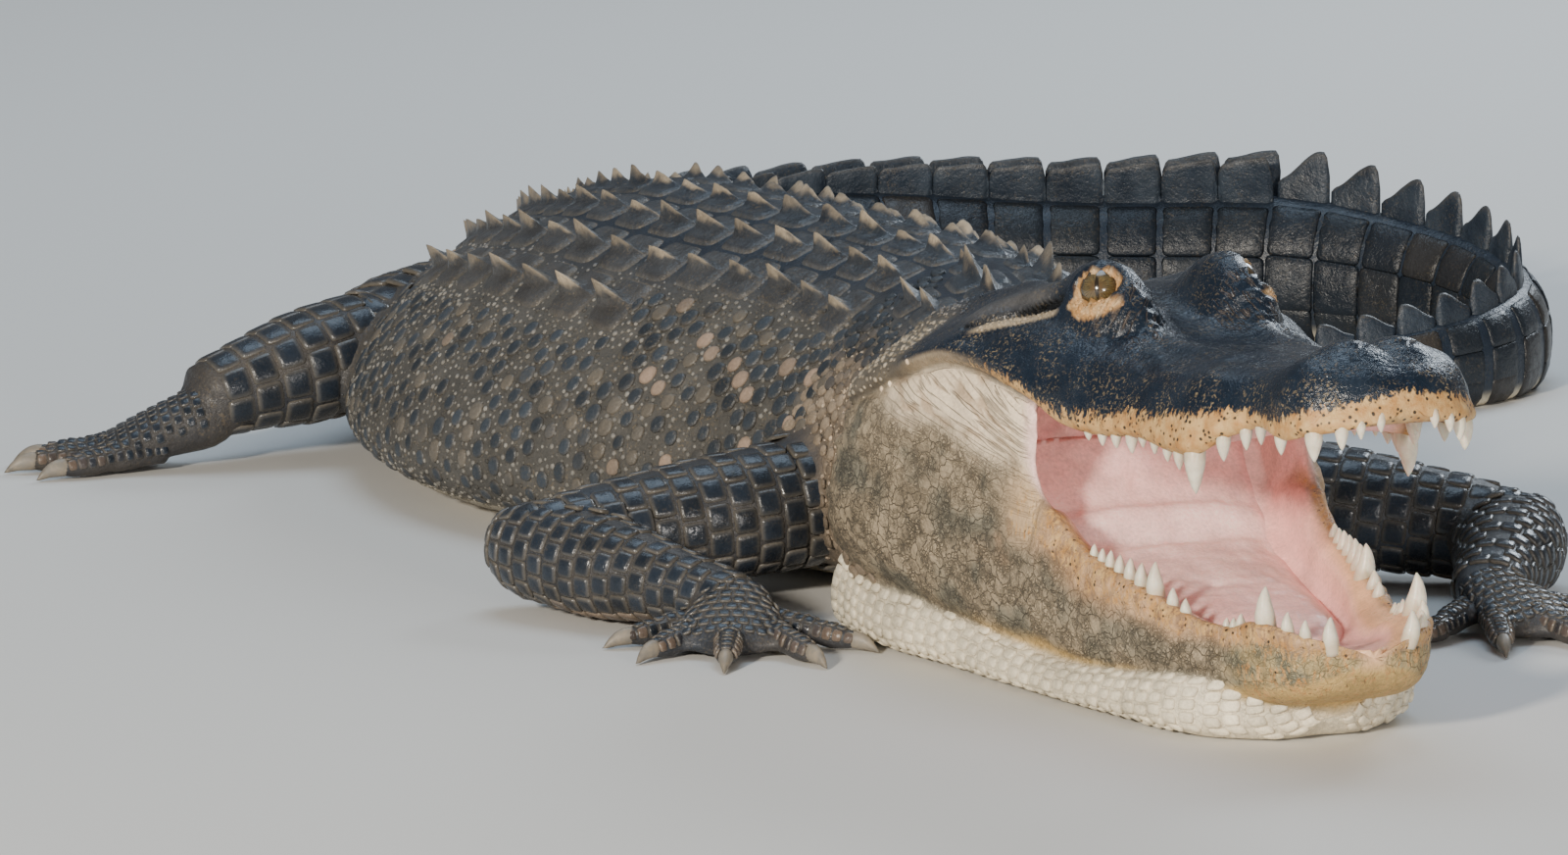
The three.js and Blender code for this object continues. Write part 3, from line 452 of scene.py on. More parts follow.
@dataclass
class Body:
    """Trunk, neck and tail: a section for each distance s behind the jaw joint.

    A turn is 0 at the top, 0.5 at the widest place and 1 below; its sign is the side.

    Attributes:
        under_squareness: squareness of the lower half of a section.
        sides: points of a ring of the skin.
    """

    under_squareness: float = 2.7
    sides: int = 76

    def __post_init__(self) -> None:
        """Reads the curves from the stations."""
        self.half, self.top, self.widest, self.square = (column(BODY_STATIONS, k) for k in range(1, 5))

    def surface(self, s: Array, turn: Array) -> Array:
        """Points of the body, without the folds of the neck.

        Args:
            s: distances behind the jaw joint.
            turn: turns round the body.

        Returns:
            Places in mm.
        """
        s, turn = np.broadcast_arrays(np.asarray(s, float), np.asarray(turn, float))
        angle = np.abs(turn) * math.pi
        upper = np.abs(turn) <= 0.5
        square = 2 / np.where(upper, self.square(s), self.under_squareness)
        side = self.half(s) * np.abs(np.sin(angle)) ** square * np.sign(turn)
        sink = lerp(6.0, 2.0, smoothstep(s, 950, 1500))
        high = np.where(upper, self.top(s) - self.widest(s), self.widest(s) + sink)
        place, _, left = SPINE.frame(s)
        point = place + left * side[..., None]
        point[..., 2] = np.maximum(self.widest(s) + high * power_of(np.cos(angle), square), 0.0)
        return point

    def turn_of_side(self, s: Array, side: Array) -> Array:
        """The turn at which the upper skin is at a distance to the side of the spine."""
        fraction = np.clip(np.abs(side) / self.half(s), 0, 0.9999)
        return np.sign(side) * np.arcsin(fraction ** (self.square(s) / 2)) / math.pi

    def axes(self, s: Array, turn: Array) -> tuple[Array, Array]:
        """Points of the body and its outward directions there.

        Args:
            s: distances behind the jaw joint.
            turn: turns round the body.

        Returns:
            The points and the directions.
        """
        point = self.surface(s, turn)
        forward = unit(self.surface(s - 3, turn) - self.surface(s + 3, turn))
        across = unit(self.surface(s, turn + 0.008) - self.surface(s, turn - 0.008))
        middle = SPINE.frame(s)[0]
        middle[..., 2] = self.widest(s)
        return point, outward_of(forward, across, point - middle)

    def skin(self, s: Array, turn: Array) -> Array:
        """Points of the body with the upright folds of loose skin at the side of the neck.

        Args:
            s: distances behind the jaw joint.
            turn: turns round the body.

        Returns:
            Places in mm.
        """
        points, outward = (v.reshape(s.shape + (3,)) for v in self.axes(s.ravel(), turn.ravel()))
        around = np.abs(turn)
        zone = smoothstep(around, 0.28, 0.4) * fade(around, 0.7, 0.85) * fade(s, 130, 230)
        wave = noise(points * np.array([1, 1, 0.25]), 26, 21) + 0.5 * noise(points * np.array([1, 1, 0.35]), 12, 22)
        points = points + outward * (zone * wave * 4.0)[..., None]
        points[..., 2] = np.maximum(points[..., 2], 0)
        return points

    def tone(self, s: Array, turn: Array, p: Array) -> tuple[Array, Array]:
        """Colour and look of points p at s and turn.

        Args:
            s: distances behind the jaw joint.
            turn: turns round the body.
            p: the points there.

        Returns:
            Colours and looks.
        """
        around = np.abs(turn)
        blotch = fractal(p, 60, 3)
        flank = smoothstep(around + blotch * 0.03, 0.15, 0.25) * fade(s, 1000, 1250)
        under = smoothstep(around, 0.62, 0.78)
        tone = mix(flat_tone(BLUE_BLACK * 1.3, len(p)), GREY_TAN * (0.46, 0.51, 0.60), flank)
        tone = mix(tone, THROAT_CREAM * 0.9, under)
        neck = smoothstep(-s, -260, -120) * smoothstep(around, 0.22, 0.34)
        tone = mix(tone, NECK_BROWN * (1 + 0.25 * blotch[:, None]), neck)
        tone *= (1 + 0.2 * fractal(p, 18, 9))[:, None]
        wet = lerp(0.75, 0.25, np.maximum(flank, under))
        grit = smoothstep(around, 0.16, 0.24) * fade(around, 0.64, 0.72) * smoothstep(s, -40, 60) * fade(s, 1040, 1150)
        zero = 0 * wet
        return tone, np.stack([wet, 0.6 + zero, 0.35 * neck + 0.2 * flank, 0.15 + 0.3 * flank, zero, grit], -1)

    def shape(self) -> Shape:
        """Trunk, neck and tail as one closed loft."""
        s = np.concatenate([np.arange(-58, 300, 7.0), np.arange(300, 1100, 9.0), np.arange(1100, 2518, 8.0), [2522]])
        grid = np.meshgrid(s, np.linspace(-1, 1, self.sides, endpoint=False), indexing="ij")
        points, faces = loft(self.skin(*grid))
        tone, look = self.tone(np.append(grid[0], [s[0], s[-1]]), np.append(grid[1], [0.0, 0.0]), points)
        return Shape(points, faces, tone, look, 26, self.sides)


BODY = Body()


@dataclass
class Axes:
    """The own axes of the head or the jaw: x forward from the jaw joint, y left, z up.

    Attributes:
        pitch: how far they point up, in degrees.
    """

    pitch: float

    def __post_init__(self) -> None:
        """Finds the directions and the place of the joint."""
        heading, pitch = math.radians(HEAD_HEADING), math.radians(self.pitch)
        nose = np.array([math.sin(heading), -math.cos(heading), 0.0]) * math.cos(pitch)
        nose[2] = math.sin(pitch)
        left = np.array([math.cos(heading), math.sin(heading), 0.0])
        self.turned = np.stack([nose, left, np.cross(nose, left)])
        self.joint = SPINE.frame(np.array(0.0))[0] + np.array([0, 0, JAW_JOINT_HEIGHT]) - left * HEAD_ASIDE

    def moved(self, points: Array) -> Array:
        """Points from these axes to the part's."""
        return points @ self.turned + self.joint


HEAD_AXES = Axes(HEAD_PITCH)
JAW_AXES = Axes(JAW_PITCH)


@dataclass(frozen=True)
class Boss:
    """A soft swelling or dent on the head, mirrored to the other side.

    Attributes:
        at: place in the head's axes.
        size: reach forward, sideways and up.
        high: height in mm, negative for a dent.
        crease: size of the wrinkles on it, or 0.
    """

    at: tuple[float, float, float]
    size: tuple[float, float, float]
    high: float
    crease: float = 0.0

    def weight(self, x: Array, side: Array, z: Array, fall: float) -> Array:
        """1 at its middle, falling away from it."""
        steps = [((value - at) / size) ** 2 for value, at, size in zip((x, side, z), self.at, self.size)]
        return np.exp(-fall * (steps[0] + steps[1] + steps[2]))


BOSSES = (
    Boss((100, 0, 108), (52, 26, 40), -2.5), Boss((60, 62, 104), (60, 9, 20), 2.5),
    Boss((120, 58, 108), (44, 10, 20), 3.0), Boss((206, 0, 98), (46, 23, 30), -7),
    Boss((243, 44, 88), (20, 13, 20), 6), Boss((262, 38, 74), (34, 9, 20), 4),
    Boss((305, 34, 62), (40, 9, 20), 3.0), Boss((276, 0, 68), (40, 22, 20), -2.0),
    Boss((330, 0, 60), (60, 16, 20), 2.0), Boss((330, 52, 48), (26, 14, 20), -2.5),
    Boss((372, 62, 34), (20, 16, 20), 4.0), Boss((405, 30, 50), (18, 26, 20), -2.5),
    Boss((470, 52, 28), (16, 14, 18), 3.5), Boss((478, 18, 52), (18, 16, 14), 5.0),
    Boss((450, 16, 52), (20, 18, 14), 4.0), Boss((478, 0, 52), (18, 5, 14), -0.8),
    Boss((150, 92, 80), (50, 14, 14), 3.0), Boss((150, 108, 66), (60, 16, 12), -2.5),
    Boss((230, 94, 50), (34, 14, 16), 3.0), Boss((150, 60, 108), (36, 13, 20), 5.0),
    Boss((243, 60, 80), (9, 8, 9), -3.5), Boss((262, 58, 70), (14, 9, 12), 3),
    Boss((284, 56, 60), (16, 6, 9), 2.5),
)
WRINKLES = (
    Boss((244, 42, 90), (34, 28, 34), 2.8, 9), Boss((206, 44, 118), (40, 28, 22), 1.7, 9),
    Boss((130, 40, 108), (60, 34, 20), 0.8, 13), Boss((244, 42, 88), (40, 30, 34), 1.1, 5),
)


def eye_axes(aim: tuple[float, float, float], hand: float) -> tuple[Array, Array, Array, Array]:
    """Axes of an eye or of its opening.

    Args:
        aim: outward direction on the left side.
        hand: 1 for the left side, -1 for the right.

    Returns:
        Centre, outward, forward and upward directions.
    """
    out = unit(np.array([aim[0], aim[1] * hand, aim[2]]))
    ahead = unit(np.cross([0, 0, 1.0], out)) * -hand
    return np.array([EYE[0], EYE[1] * hand, EYE[2]]), out, ahead, unit(np.cross(ahead, out)) * hand


def tooth_lumps(x: Array, teeth: tuple) -> Array:
    """Swelling of the gum round each tooth, from 0 to 1."""
    return np.maximum.reduce([0 * x] + [hump(x, at, radius + 1.5) * min(1, radius / 6) for at, _, radius in teeth])


@dataclass
class Head:
    """Upper part of the head, from the snout to the back of the skull.

    Attributes:
        counts: points on each stretch of a ring.
        mound: middle of the swelling round the eye.
        mound_size: its reach to the front, to the rear, sideways and up.
        blend: how softly it joins the skull.
        opening: direction in which the eye's opening looks.
    """

    counts: tuple = (7, 7, 9, 14, 17, 17, 13)
    mound: tuple = (202.0, 44.0, 66.0)
    mound_size: tuple = (50.0, 73.0, 30.5, 59.0)
    blend: float = 8.0
    opening: tuple = (0.62, 0.74, 0.24)

    def __post_init__(self) -> None:
        """Reads the curves from the stations."""
        self.half, self.lip, self.top = (column(HEAD_STATIONS, k) for k in (1, 2, 3))
        self.band = monotone(((0, 5), (120, 5), (200, 8), (260, 12), (320, 17), (372, 25), (405, 14), (430, 11),
                              (470, 14), (514, 15)))

    def rings(self) -> Array:
        """Smooth rings in the head's own axes, closer where there is more to show."""
        x = np.concatenate([
            np.arange(-33, 60, 5.0), np.arange(60, 110, 3.0), np.arange(110, 262, 1.7),
            np.arange(262, 430, 2.9), np.arange(430, 500, 2.0), [501, 503, 505, 507, 509, 511, 512.5, 514],
        ])
        lip, h = self.lip(x), self.top(x) - self.lip(x)
        w = self.half(x) * lerp(0.93, 1.0, smoothstep(x, 50, 105))
        snout, front = smoothstep(x, 150, 250), smoothstep(x, 478, 506)
        return sections(x, [
            (0, lip + lerp(9, 1.5, front)), (0.72 * w, lip + lerp(5, 0.8, front)), (0.93 * w, lip), (w, lip + 0.2 * h),
            (lerp(0.9, 0.94, snout) * w, lip + lerp(0.42, 0.52, snout) * h),
            (lerp(0.68, 0.78, snout) * w, lip + lerp(0.72, 0.83, snout) * h),
            (lerp(0.46, 0.44, snout) * w, lip + 0.98 * h), (0, lip + h),
        ], self.counts)

    def shaped(self, p: Array) -> Array:
        """Rings with bosses, eye mounds, lids, ear flaps, nostrils and wrinkles.

        Args:
            p: smooth rings.

        Returns:
            The finished rings.
        """
        p = p.copy()
        normal = ring_normals(p)
        upper, side = smoothstep(normal[..., 2], -0.1, 0.3), np.abs(p[..., 1])
        for boss in BOSSES:
            p += normal * (boss.high * boss.weight(p[..., 0], side, p[..., 2], 1.2) * upper)[..., None]
        return self._details(self._lids(self._mounds(p)))

    def _mounds(self, p: Array) -> Array:
        """Swells the skull round each eye.

        Args:
            p: rings.

        Returns:
            The swollen rings.
        """
        hand = np.where(p[..., 1] < 0, -1.0, 1.0)
        core = np.stack([0 * hand + self.mound[0], self.mound[1] * hand, 0 * hand + self.mound[2]], -1)
        dist = np.linalg.norm(p - core, axis=-1)
        d = (p - core) / np.maximum(dist, 1e-6)[..., None]
        front, rear, wide, high = self.mound_size
        length = np.where(d[..., 0] > 0, front, rear)
        gap = 1 / np.sqrt((d[..., 0] / length) ** 2 + (d[..., 1] / wide) ** 2 + (d[..., 2] / high) ** 2) - dist
        lifted = dist + 0.5 * (gap + np.sqrt(gap**2 + self.blend**2)) - 0.5 * self.blend * 0.35
        use = smoothstep(d[..., 2], -0.05, 0.16) * (lifted > dist)
        return core + d * lerp(dist, lifted, use)[..., None]

    def _lids(self, p: Array) -> Array:
        """Presses the eye openings in and raises the lids round them.

        Args:
            p: rings.

        Returns:
            The rings with lids.
        """
        for hand in HANDS:
            centre, out, ahead, high = eye_axes(self.opening, hand)
            w, a, b = ((p - centre) @ axis for axis in (out, ahead, high))
            radius = np.hypot(a, b)
            near = (p[..., 1] * hand > 0) & (w > -4) & (radius < 30)
            shape = np.hypot((a - 1) / 12.5, (b + 0.5) / np.where(b > -0.5, 9.2, 8.6))
            ball = np.sqrt(np.maximum(EYE_RADIUS**2 - np.minimum(radius, EYE_RADIUS * 0.985) ** 2, 0))
            drape = fade(shape, 1.15, 1.7)
            target = np.maximum(w, (ball + 1.0) * drape + w * (1 - drape))
            target = lerp(target, ball + 1.0, drape * 0.9)
            target += 1.8 * hump(shape, 1.13, 0.10) - 1.4 * hump(shape, 1.42, 0.09) + 1.0 * hump(shape, 1.65, 0.12)
            target = lerp(target, ball - 3.0, fade(shape, 0.93, 1.03))
            p = np.where(near[..., None], p + out * (target - w)[..., None], p)
        return p

    def _details(self, p: Array) -> Array:
        """Ear flap and slit, wrinkles, lips, nostril slits and fine relief.

        Args:
            p: rings.

        Returns:
            The rings with all of them.
        """
        x, side, z = p[..., 0], np.abs(p[..., 1]), p[..., 2]
        normal = ring_normals(p)
        line, slit = self.ear(x, z)
        flap = hump(z - line, 9.5, 6.0) * smoothstep(x, 96, 124) * fade(x, 168, 184)
        ridge = hump(z - line, -7.0, 3.2) * smoothstep(x, 110, 136) * fade(x, 190, 200)
        p = p + normal * ((4.2 * flap + 2.0 * ridge - 6.0 * slit) * smoothstep(side, 44, 54))[..., None]
        for boss in WRINKLES:
            folds = 1 - 2.6 * np.abs(fractal(p * np.array([0.8, 1.2, 0.8]), boss.crease, 37, 3))
            calm = smoothstep(self.eye_reach(p), 1.35, 1.9)
            p = p + normal * (boss.high * folds * boss.weight(x, side, z, 1.3) * calm)[..., None]
        lipped = hump(z - self.lip(x), 4, 6.5) * smoothstep(normal[..., 2], -0.85, -0.1)
        p = p + normal * ((0.2 + 3.6 * tooth_lumps(x, UPPER_TEETH)) * lipped)[..., None]
        nostril = hump(np.hypot(x - 479, side - 17), 7.0, 1.7) * smoothstep(x - 479, -2.5, 3.0) * (z > 35)
        p = p - normal * (3.2 * nostril)[..., None]
        rough = fractal(p, 9, 31, 3) * 0.55 + fractal(p, 26, 35, 2) * 0.9
        calm = smoothstep(self.eye_reach(p), 1.1, 1.6)
        return p + normal * (rough * calm * smoothstep(normal[..., 2], -0.5, 0.2))[..., None]

    def ear(self, x: Array, z: Array) -> tuple[Array, Array]:
        """Height of the ear's slit, and how close a point is to it.

        Args:
            x: places along the axis.
            z: heights.

        Returns:
            The height, and 1 at the slit, falling to 0.
        """
        line = lerp(89.0, 99.5, smoothstep(x, 112, 190)) + 1.2 * np.sin(x * 0.1)
        width = lerp(1.5, 4.4, smoothstep(x, 138, 178))
        return line, hump(z - line, 0, width, 4) * smoothstep(x, 116, 128) * fade(x, 186, 191)

    def eye_reach(self, p: Array) -> Array:
        """Distance from the nearer eye's opening, 1 at its edge.

        Args:
            p: points in these axes.

        Returns:
            One distance for each point.
        """
        nearest = np.full(p.shape[:-1], 9.0)
        for hand in HANDS:
            centre, out, ahead, high = eye_axes(self.opening, hand)
            w, a, b = ((p - centre) @ axis for axis in (out, ahead, high))
            nearest = np.minimum(nearest, np.where(w > -4, np.hypot((a - 1) / 12.5, (b + 0.5) / 9.0), 9.0))
        return nearest

    def tone(self, p: Array) -> tuple[Array, Array]:
        """Colour and look of points in the head's own axes.

        Args:
            p: points in these axes.

        Returns:
            Colours and looks.
        """
        x, side, z = p[:, 0], np.abs(p[:, 1]), p[:, 2]
        over, band, out = z - self.lip(x), self.band(x), side / self.half(x)
        tone = flat_tone(BLUE_BLACK * (0.55, 0.7, 0.85), len(p))
        tone = mix(tone, SLATE * (0.42, 0.5, 0.6), 0.15 + 0.7 * fractal(p, 30, 41))
        soft = lerp(36.0, 24.0, smoothstep(x, 300, 420))
        rear, back = fade(x, 110, 190), fade(x + 10 * fractal(p, 20, 46), 45, 85)
        tone = mix(tone, (0.27, 0.21, 0.14), rear * (1 - back) * fade(over, band + 1, band + 6))
        tone = mix(tone, GREY_TAN * 0.8, back * fade(z, 88, 112))
        # roof of the mouth, pink with gum at its edge; painted shade darkens its front under the snout
        inner = fade(over, 12.0, 15.0) * fade(out, 0.80, 0.89) * fade(x, 499, 506)
        roof = mix(flat_tone(GUM, len(p)), PINK * 1.06, np.maximum(smoothstep(0.86 - out, 0, 0.2), fade(x, 240, 330)))
        tone = mix(tone, mix(roof, (0.17, 0.085, 0.045), smoothstep(x, 380, 440) * 0.93), inner)
        # lids, and the creases in front of them
        eyes = self.eye_reach(p)
        creased = np.exp(-(((x - 246) / 34) ** 2) - ((side - 44) / 30) ** 2 - ((z - 88) / 28) ** 2)
        creased = smoothstep(creased, 0.2, 0.6) * smoothstep(eyes, 1.4, 1.9)
        low = lerp(0.06, 0.75 + 0.5 * smoothstep(x, 205, 217), smoothstep(EYE[2] - 2 - z, 0, 8))
        lids = fade(eyes, 1.28 + low, 1.42 + low) * (eyes > 0.9)
        rimmed = mix(flat_tone((0.50, 0.27, 0.10), len(p)), (0.62, 0.42, 0.22),
                     smoothstep(fractal(p, 4, 47), -0.1, 0.3))
        tone = mix(tone, rimmed, lids)
        # ear: grey flap, pale band below it, and painted shade inside the slit
        line, slit = self.ear(x, z)
        lateral = smoothstep(side, 44, 54)
        flap = hump(z - line, 10, 8.0) * smoothstep(x, 96, 118) * fade(x, 165, 184) * lateral
        tone = mix(tone, (0.085, 0.082, 0.08), flap * 0.85)
        below = hump(z - line, -6.5, 3.2, 4) * smoothstep(x, 122, 150) * fade(x, 186, 200) * lateral
        tone = mix(tone, (0.36, 0.29, 0.20), smoothstep(below, 0.3, 0.8))
        # painted shade: the slit itself is darkened to near black
        tone = mix(tone, BLUE_BLACK * 0.06, np.minimum(slit * lateral * 3.2, 1))
        # painted shade: the skin inside the eye opening, round the eyeball, is near black
        socket = fade(eyes, 0.9, 1.02)
        tone = mix(tone, (0.02, 0.012, 0.008), socket)
        # looks
        lip = np.clip(0.5 - (over + 3 * fractal(p, 20, 43) - band) / soft, 0, 1) * (1 - 0.42 * rear) * (1 - back)
        lip = lip * (1 - inner) * (1 - lids) * (1 - slit * lateral) * (1 - socket)
        edge = np.maximum(smoothstep(lip, 0.4, 0.6), lids)
        wet = (lerp(0.98, 0.5, edge) - 0.3 * flap - 0.4 * back) * (1 - inner) + 0.4 * inner
        speck = (1 - edge) * (1 - inner) * (0.55 + 0.45 * fade(over, band + 10, band + 40))
        bead = np.maximum(smoothstep(lids, 0.5, 0.9) * (eyes > 1.1), smoothstep(below, 0.5, 0.9) * 0.9)
        lip = lip - 0.16 * fade(over, -1.0, 3.5) * (1 - inner)
        return tone, np.stack([
            wet, lerp(0.6, 0.5, edge), 0.12 * (1 - inner), speck, lip, back * (side > 40) * (over > 0), bead,
            0.7 * creased, (0.8 * side + 0.5 * z) / 5, 0.06 * x], -1)

    def shape(self) -> Shape:
        """The head as one closed loft."""
        own = self.shaped(self.rings())
        points, faces = loft(own)
        return Shape(HEAD_AXES.moved(points), faces, *self.tone(points), 5, own.shape[1])


HEAD = Head()


@dataclass
class Jaw:
    """Lower jaw with the floor of the mouth, the cheeks and the skin of the throat.

    Attributes:
        counts: points on each stretch of a ring of the jaw.
        cheek_counts: the same for the cheek.
        space_counts: the same for the open space between the jaws.
        throat_counts: the same for the throat.
        back_wall: where the mouth ends.
        corner: place that the folds of the cheek spread from, forward and up.
    """

    counts: tuple = (6, 8, 10, 10, 10, 8, 9, 9, 12)
    cheek_counts: tuple = (3, 4, 14, 20, 16, 4)
    space_counts: tuple = (6, 4, 5, 4, 4)
    throat_counts: tuple = (6, 6, 6, 6, 4, 4)
    back_wall: float = 112.0
    corner: tuple = (204, 44)

    def __post_init__(self) -> None:
        """Reads the curves from the stations."""
        self.half, self.edge, self.under = (column(JAW_STATIONS, k) for k in (1, 2, 3))
        self.floor = monotone(((112, 40), (135, 16), (165, -5), (210, -24), (300, -33), (385, -25), (432, -12),
                               (467, -6)))
        self.hinge_top = monotone(((-40, 40), (0, 58), (57, 88), (99, 110), (166, 108), (202, 96)))
        self.throat_half, self.throat_lift = (column(THROAT_STATIONS, k) for k in (1, 2))

    def inner(self, x: Array) -> Array:
        """Half width of the mouth floor."""
        return self.half(x) - 25 - 8 * smoothstep(x, 280, 385)

    def shape(self) -> Shape:
        """The jaw as one closed loft, open at the top as far as the mouth floor."""
        x = np.concatenate([np.arange(-38, 100, 6.0), np.arange(100, 400, 3.0), np.arange(400, 460, 2.2),
                            [461, 463, 465, 467]])
        w, edge, under = self.half(x), self.edge(x), self.under(x)
        h, mouth = edge - under, smoothstep(x, 100, 125)
        floor = lerp(edge - 3, np.minimum(self.floor(x), edge - 2), mouth)
        inner = lerp(0.7 * w, np.maximum(self.inner(x), 0.3 * w), mouth)
        own = sections(x, [
            (0, under), (0.62 * w, under + 0.03 * h), (0.9 * w, under + 0.2 * h), (w, under + 0.5 * h),
            (0.985 * w, under + 0.8 * h), (0.95 * w, edge - 0.5), (0.86 * w, edge - 0.5),
            (inner + 0.25 * (0.86 * w - inner), lerp(edge - 1, edge - 8, mouth)), (0.88 * inner, floor + 2), (0, floor),
        ], self.counts)
        normal = ring_normals(own)
        out = smoothstep(np.abs(own[..., 1]) / w[:, None], 0.75, 0.95)
        height = (own[..., 2] - under[:, None]) / h[:, None]
        lumps = smoothstep(height, 0.66, 0.9) * (2.0 * fractal(own, 10, 68) + 0.7 * fractal(own, 4, 69))
        lumps += smoothstep(height, 0.72, 0.95) * (4.0 * tooth_lumps(own[..., 0], LOWER_TEETH) - 0.8)
        relief = fractal(own, 16, 61) * 1.1 + fractal(own, 6, 62) * 0.5 + lumps
        own = own + normal * (relief * out * smoothstep(normal[..., 2], 0.9, 0.2))[..., None]
        points, faces = loft(own)
        return Shape(JAW_AXES.moved(points), faces, *self.tone(points), 7, own.shape[1])

    def tone(self, p: Array) -> tuple[Array, Array]:
        """Colour and look of points in the jaw's own axes.

        Args:
            p: points in these axes.

        Returns:
            Colours and looks.
        """
        x, side, z = p[:, 0], np.abs(p[:, 1]), p[:, 2]
        tone = flat_tone(JAW_BEIGE * 0.8, len(p)) * (1 + 0.25 * fractal(p, 26, 63))[:, None]
        mottle = smoothstep(fractal(p, 30, 64, 4), -0.1, 0.3)
        tone = mix(tone, JAW_DARK, mottle * lerp(0.35, 0.8, fade(x, 200, 360)))
        height = (z - self.under(x)) / (self.edge(x) - self.under(x))
        near_edge = smoothstep(height + 0.1 * fractal(p, 18, 66), 0.62, 0.84) * smoothstep(x, 135, 190)
        fleshy = mix(flat_tone((0.58, 0.36, 0.20), len(p)), (0.30, 0.17, 0.085),
                     smoothstep(fractal(p, 11, 65, 4), -0.1, 0.35))
        tone = mix(tone, fleshy, near_edge * 0.9)
        chin = smoothstep(x, 375, 420) * (1 - near_edge)
        tan = mix(flat_tone((0.50, 0.38, 0.18), len(p)), (0.20, 0.21, 0.15),
                  smoothstep(fractal(p, 12, 70, 4), -0.15, 0.25) * 0.85)
        tone = mix(tone, tan, chin * 0.85)
        golden = smoothstep(0.30 - height + 0.06 * fractal(p, 16, 67), 0.0, 0.12) * smoothstep(x, 90, 200)
        tone = mix(tone, (0.56, 0.37, 0.13), golden * 0.85)
        low = fade(z - self.under(x), 2, 9) * fade(x, 350, 385)
        tone = mix(tone, THROAT_CREAM, low)
        inside = fade(side / self.half(x), 0.80, 0.88) * (z > self.floor(x) - 8) * smoothstep(x, 104, 116)
        gum = smoothstep(side - self.inner(x), -2, 8) * smoothstep(x, 190, 300)
        tone = mix(tone, mix(flat_tone(PINK, len(p)), GUM * 1.15, gum), inside)
        crack = (1 - inside) * (1 - 0.7 * near_edge) * (1 - 0.6 * golden) * (1 - 0.3 * chin) * (1 - low)
        lip = (0.50 * near_edge + 0.44 * chin + 0.06 * fractal(p, 16, 78)) * (1 - inside)
        return tone, np.stack([0.25 + 0.45 * inside + 0.12 * near_edge, lerp(0.9, 0.25, inside), crack,
                               0.25 * (1 - inside), np.minimum(lip, 0.64)], -1)

    def cheek_shape(self) -> Shape:
        """Soft block between the jaws behind the corner of the mouth."""
        x = np.concatenate([np.arange(-38, 60, 4.0), np.arange(60, 190, 2.4), [192, 194, 196, 198, 199.6, 201, 202]])
        w = self.half(x) * (0.975 - 0.012 * smoothstep(x, 150, 192)) - 7 * smoothstep(x, 190, 203) ** 2
        top = self.hinge_top(x)
        own = sections(x, [(0, -60), (0.8 * w, -58), (w, -30), (1.0 * w, top - 62), (0.985 * w, top - 26),
                           (0.8 * w, top), (0, top)], self.cheek_counts)
        bow = -15 * hump(own[..., 2], 62, 24) + 9 * fade(own[..., 2], 24, 44)
        own[..., 0] += bow * smoothstep(own[..., 0], 140, 202)
        bent = own.copy()
        bent[..., 2] += 34 * smoothstep(own[..., 0], 110, 205) * (own[..., 2] < 200)
        stretch = self.fan(own) * 0.9 + noise(bent * np.array([0.2, 1, 1]), 12, 72) * 1.6
        own = own + ring_normals(own) * (stretch * smoothstep(np.abs(own[..., 1]), 80, 95))[..., None]
        points, faces = loft(own)
        return Shape(JAW_AXES.moved(points), faces, *self.cheek_tone(points), 6, own.shape[1])

    def fan(self, p: Array) -> Array:
        """Folds that spread from the corner of the mouth, from -1 to 1.

        Args:
            p: points in these axes.

        Returns:
            Depth of the folds at each.
        """
        ahead, over = self.corner[0] - p[..., 0], p[..., 2] - self.corner[1]
        angle = np.arctan2(over + 0.10 * ahead, ahead) * 15 + 1.2 * fractal(p, 30, 77)
        fine = np.stack([angle, np.hypot(ahead, over) * 0.03, 0 * angle], -1)
        return noise(fine, 0.7, 71) + 0.6 * noise(fine, 0.33, 76)

    def cheek_tone(self, p: Array) -> tuple[Array, Array]:
        """Colour and look of the cheek, pale and stretched near the corner of the mouth.

        Args:
            p: points in these axes.

        Returns:
            Colours and looks.
        """
        x, side, z = p[:, 0], np.abs(p[:, 1]), p[:, 2]
        pale = smoothstep(z + 12 * fractal(p, 24, 73), lerp(44.0, 30.0, smoothstep(x, 60, 180)), 66)
        mottle = smoothstep(fractal(p, 30, 64, 4), -0.1, 0.3)
        tone = mix(flat_tone(JAW_BEIGE * 1.1, len(p)) * 0.8, JAW_DARK, mottle * 0.8 * (1 - pale))
        tone = mix(tone, PALE_CHEEK, pale * 0.95)
        # painted shade: darker in the troughs of the folds that spread from the corner of the mouth
        tone = mix(tone, PALE_CHEEK * (0.42, 0.33, 0.26), smoothstep(-self.fan(p), 0.25, 0.8) * pale * 0.6)
        inner = fade(side, self.half(x) - 24, self.half(x) - 12) * (x > 100)
        lining = np.clip(inner + smoothstep(x, 172, 186) * fade(side / self.half(x), 0.90, 0.95), 0, 1)
        tone = mix(tone, (0.90, 0.62, 0.56), lining)
        edge = smoothstep(x, 160, 190) * fade(z, 30, 60) * smoothstep(z, -14, 8) * (1 - lining)
        tone = mix(tone, (0.56, 0.38, 0.22), edge * 0.8)
        ahead, over = 300 - x, z - 24
        fold = (pale * (1 - lining) + 0.35 * (1 - pale)) * smoothstep(x, -10, 60)
        zero = 0 * x
        return tone, np.stack([
            0.25 + 0.4 * lining, 0.6 + zero, 0.9 * (1 - pale) * (1 - lining) * (1 - edge), 0.1 + zero, 0.42 * edge,
            zero, zero, fold, (np.arctan2(over, ahead) + 2) * 34, np.hypot(ahead, over) * 0.013], -1)

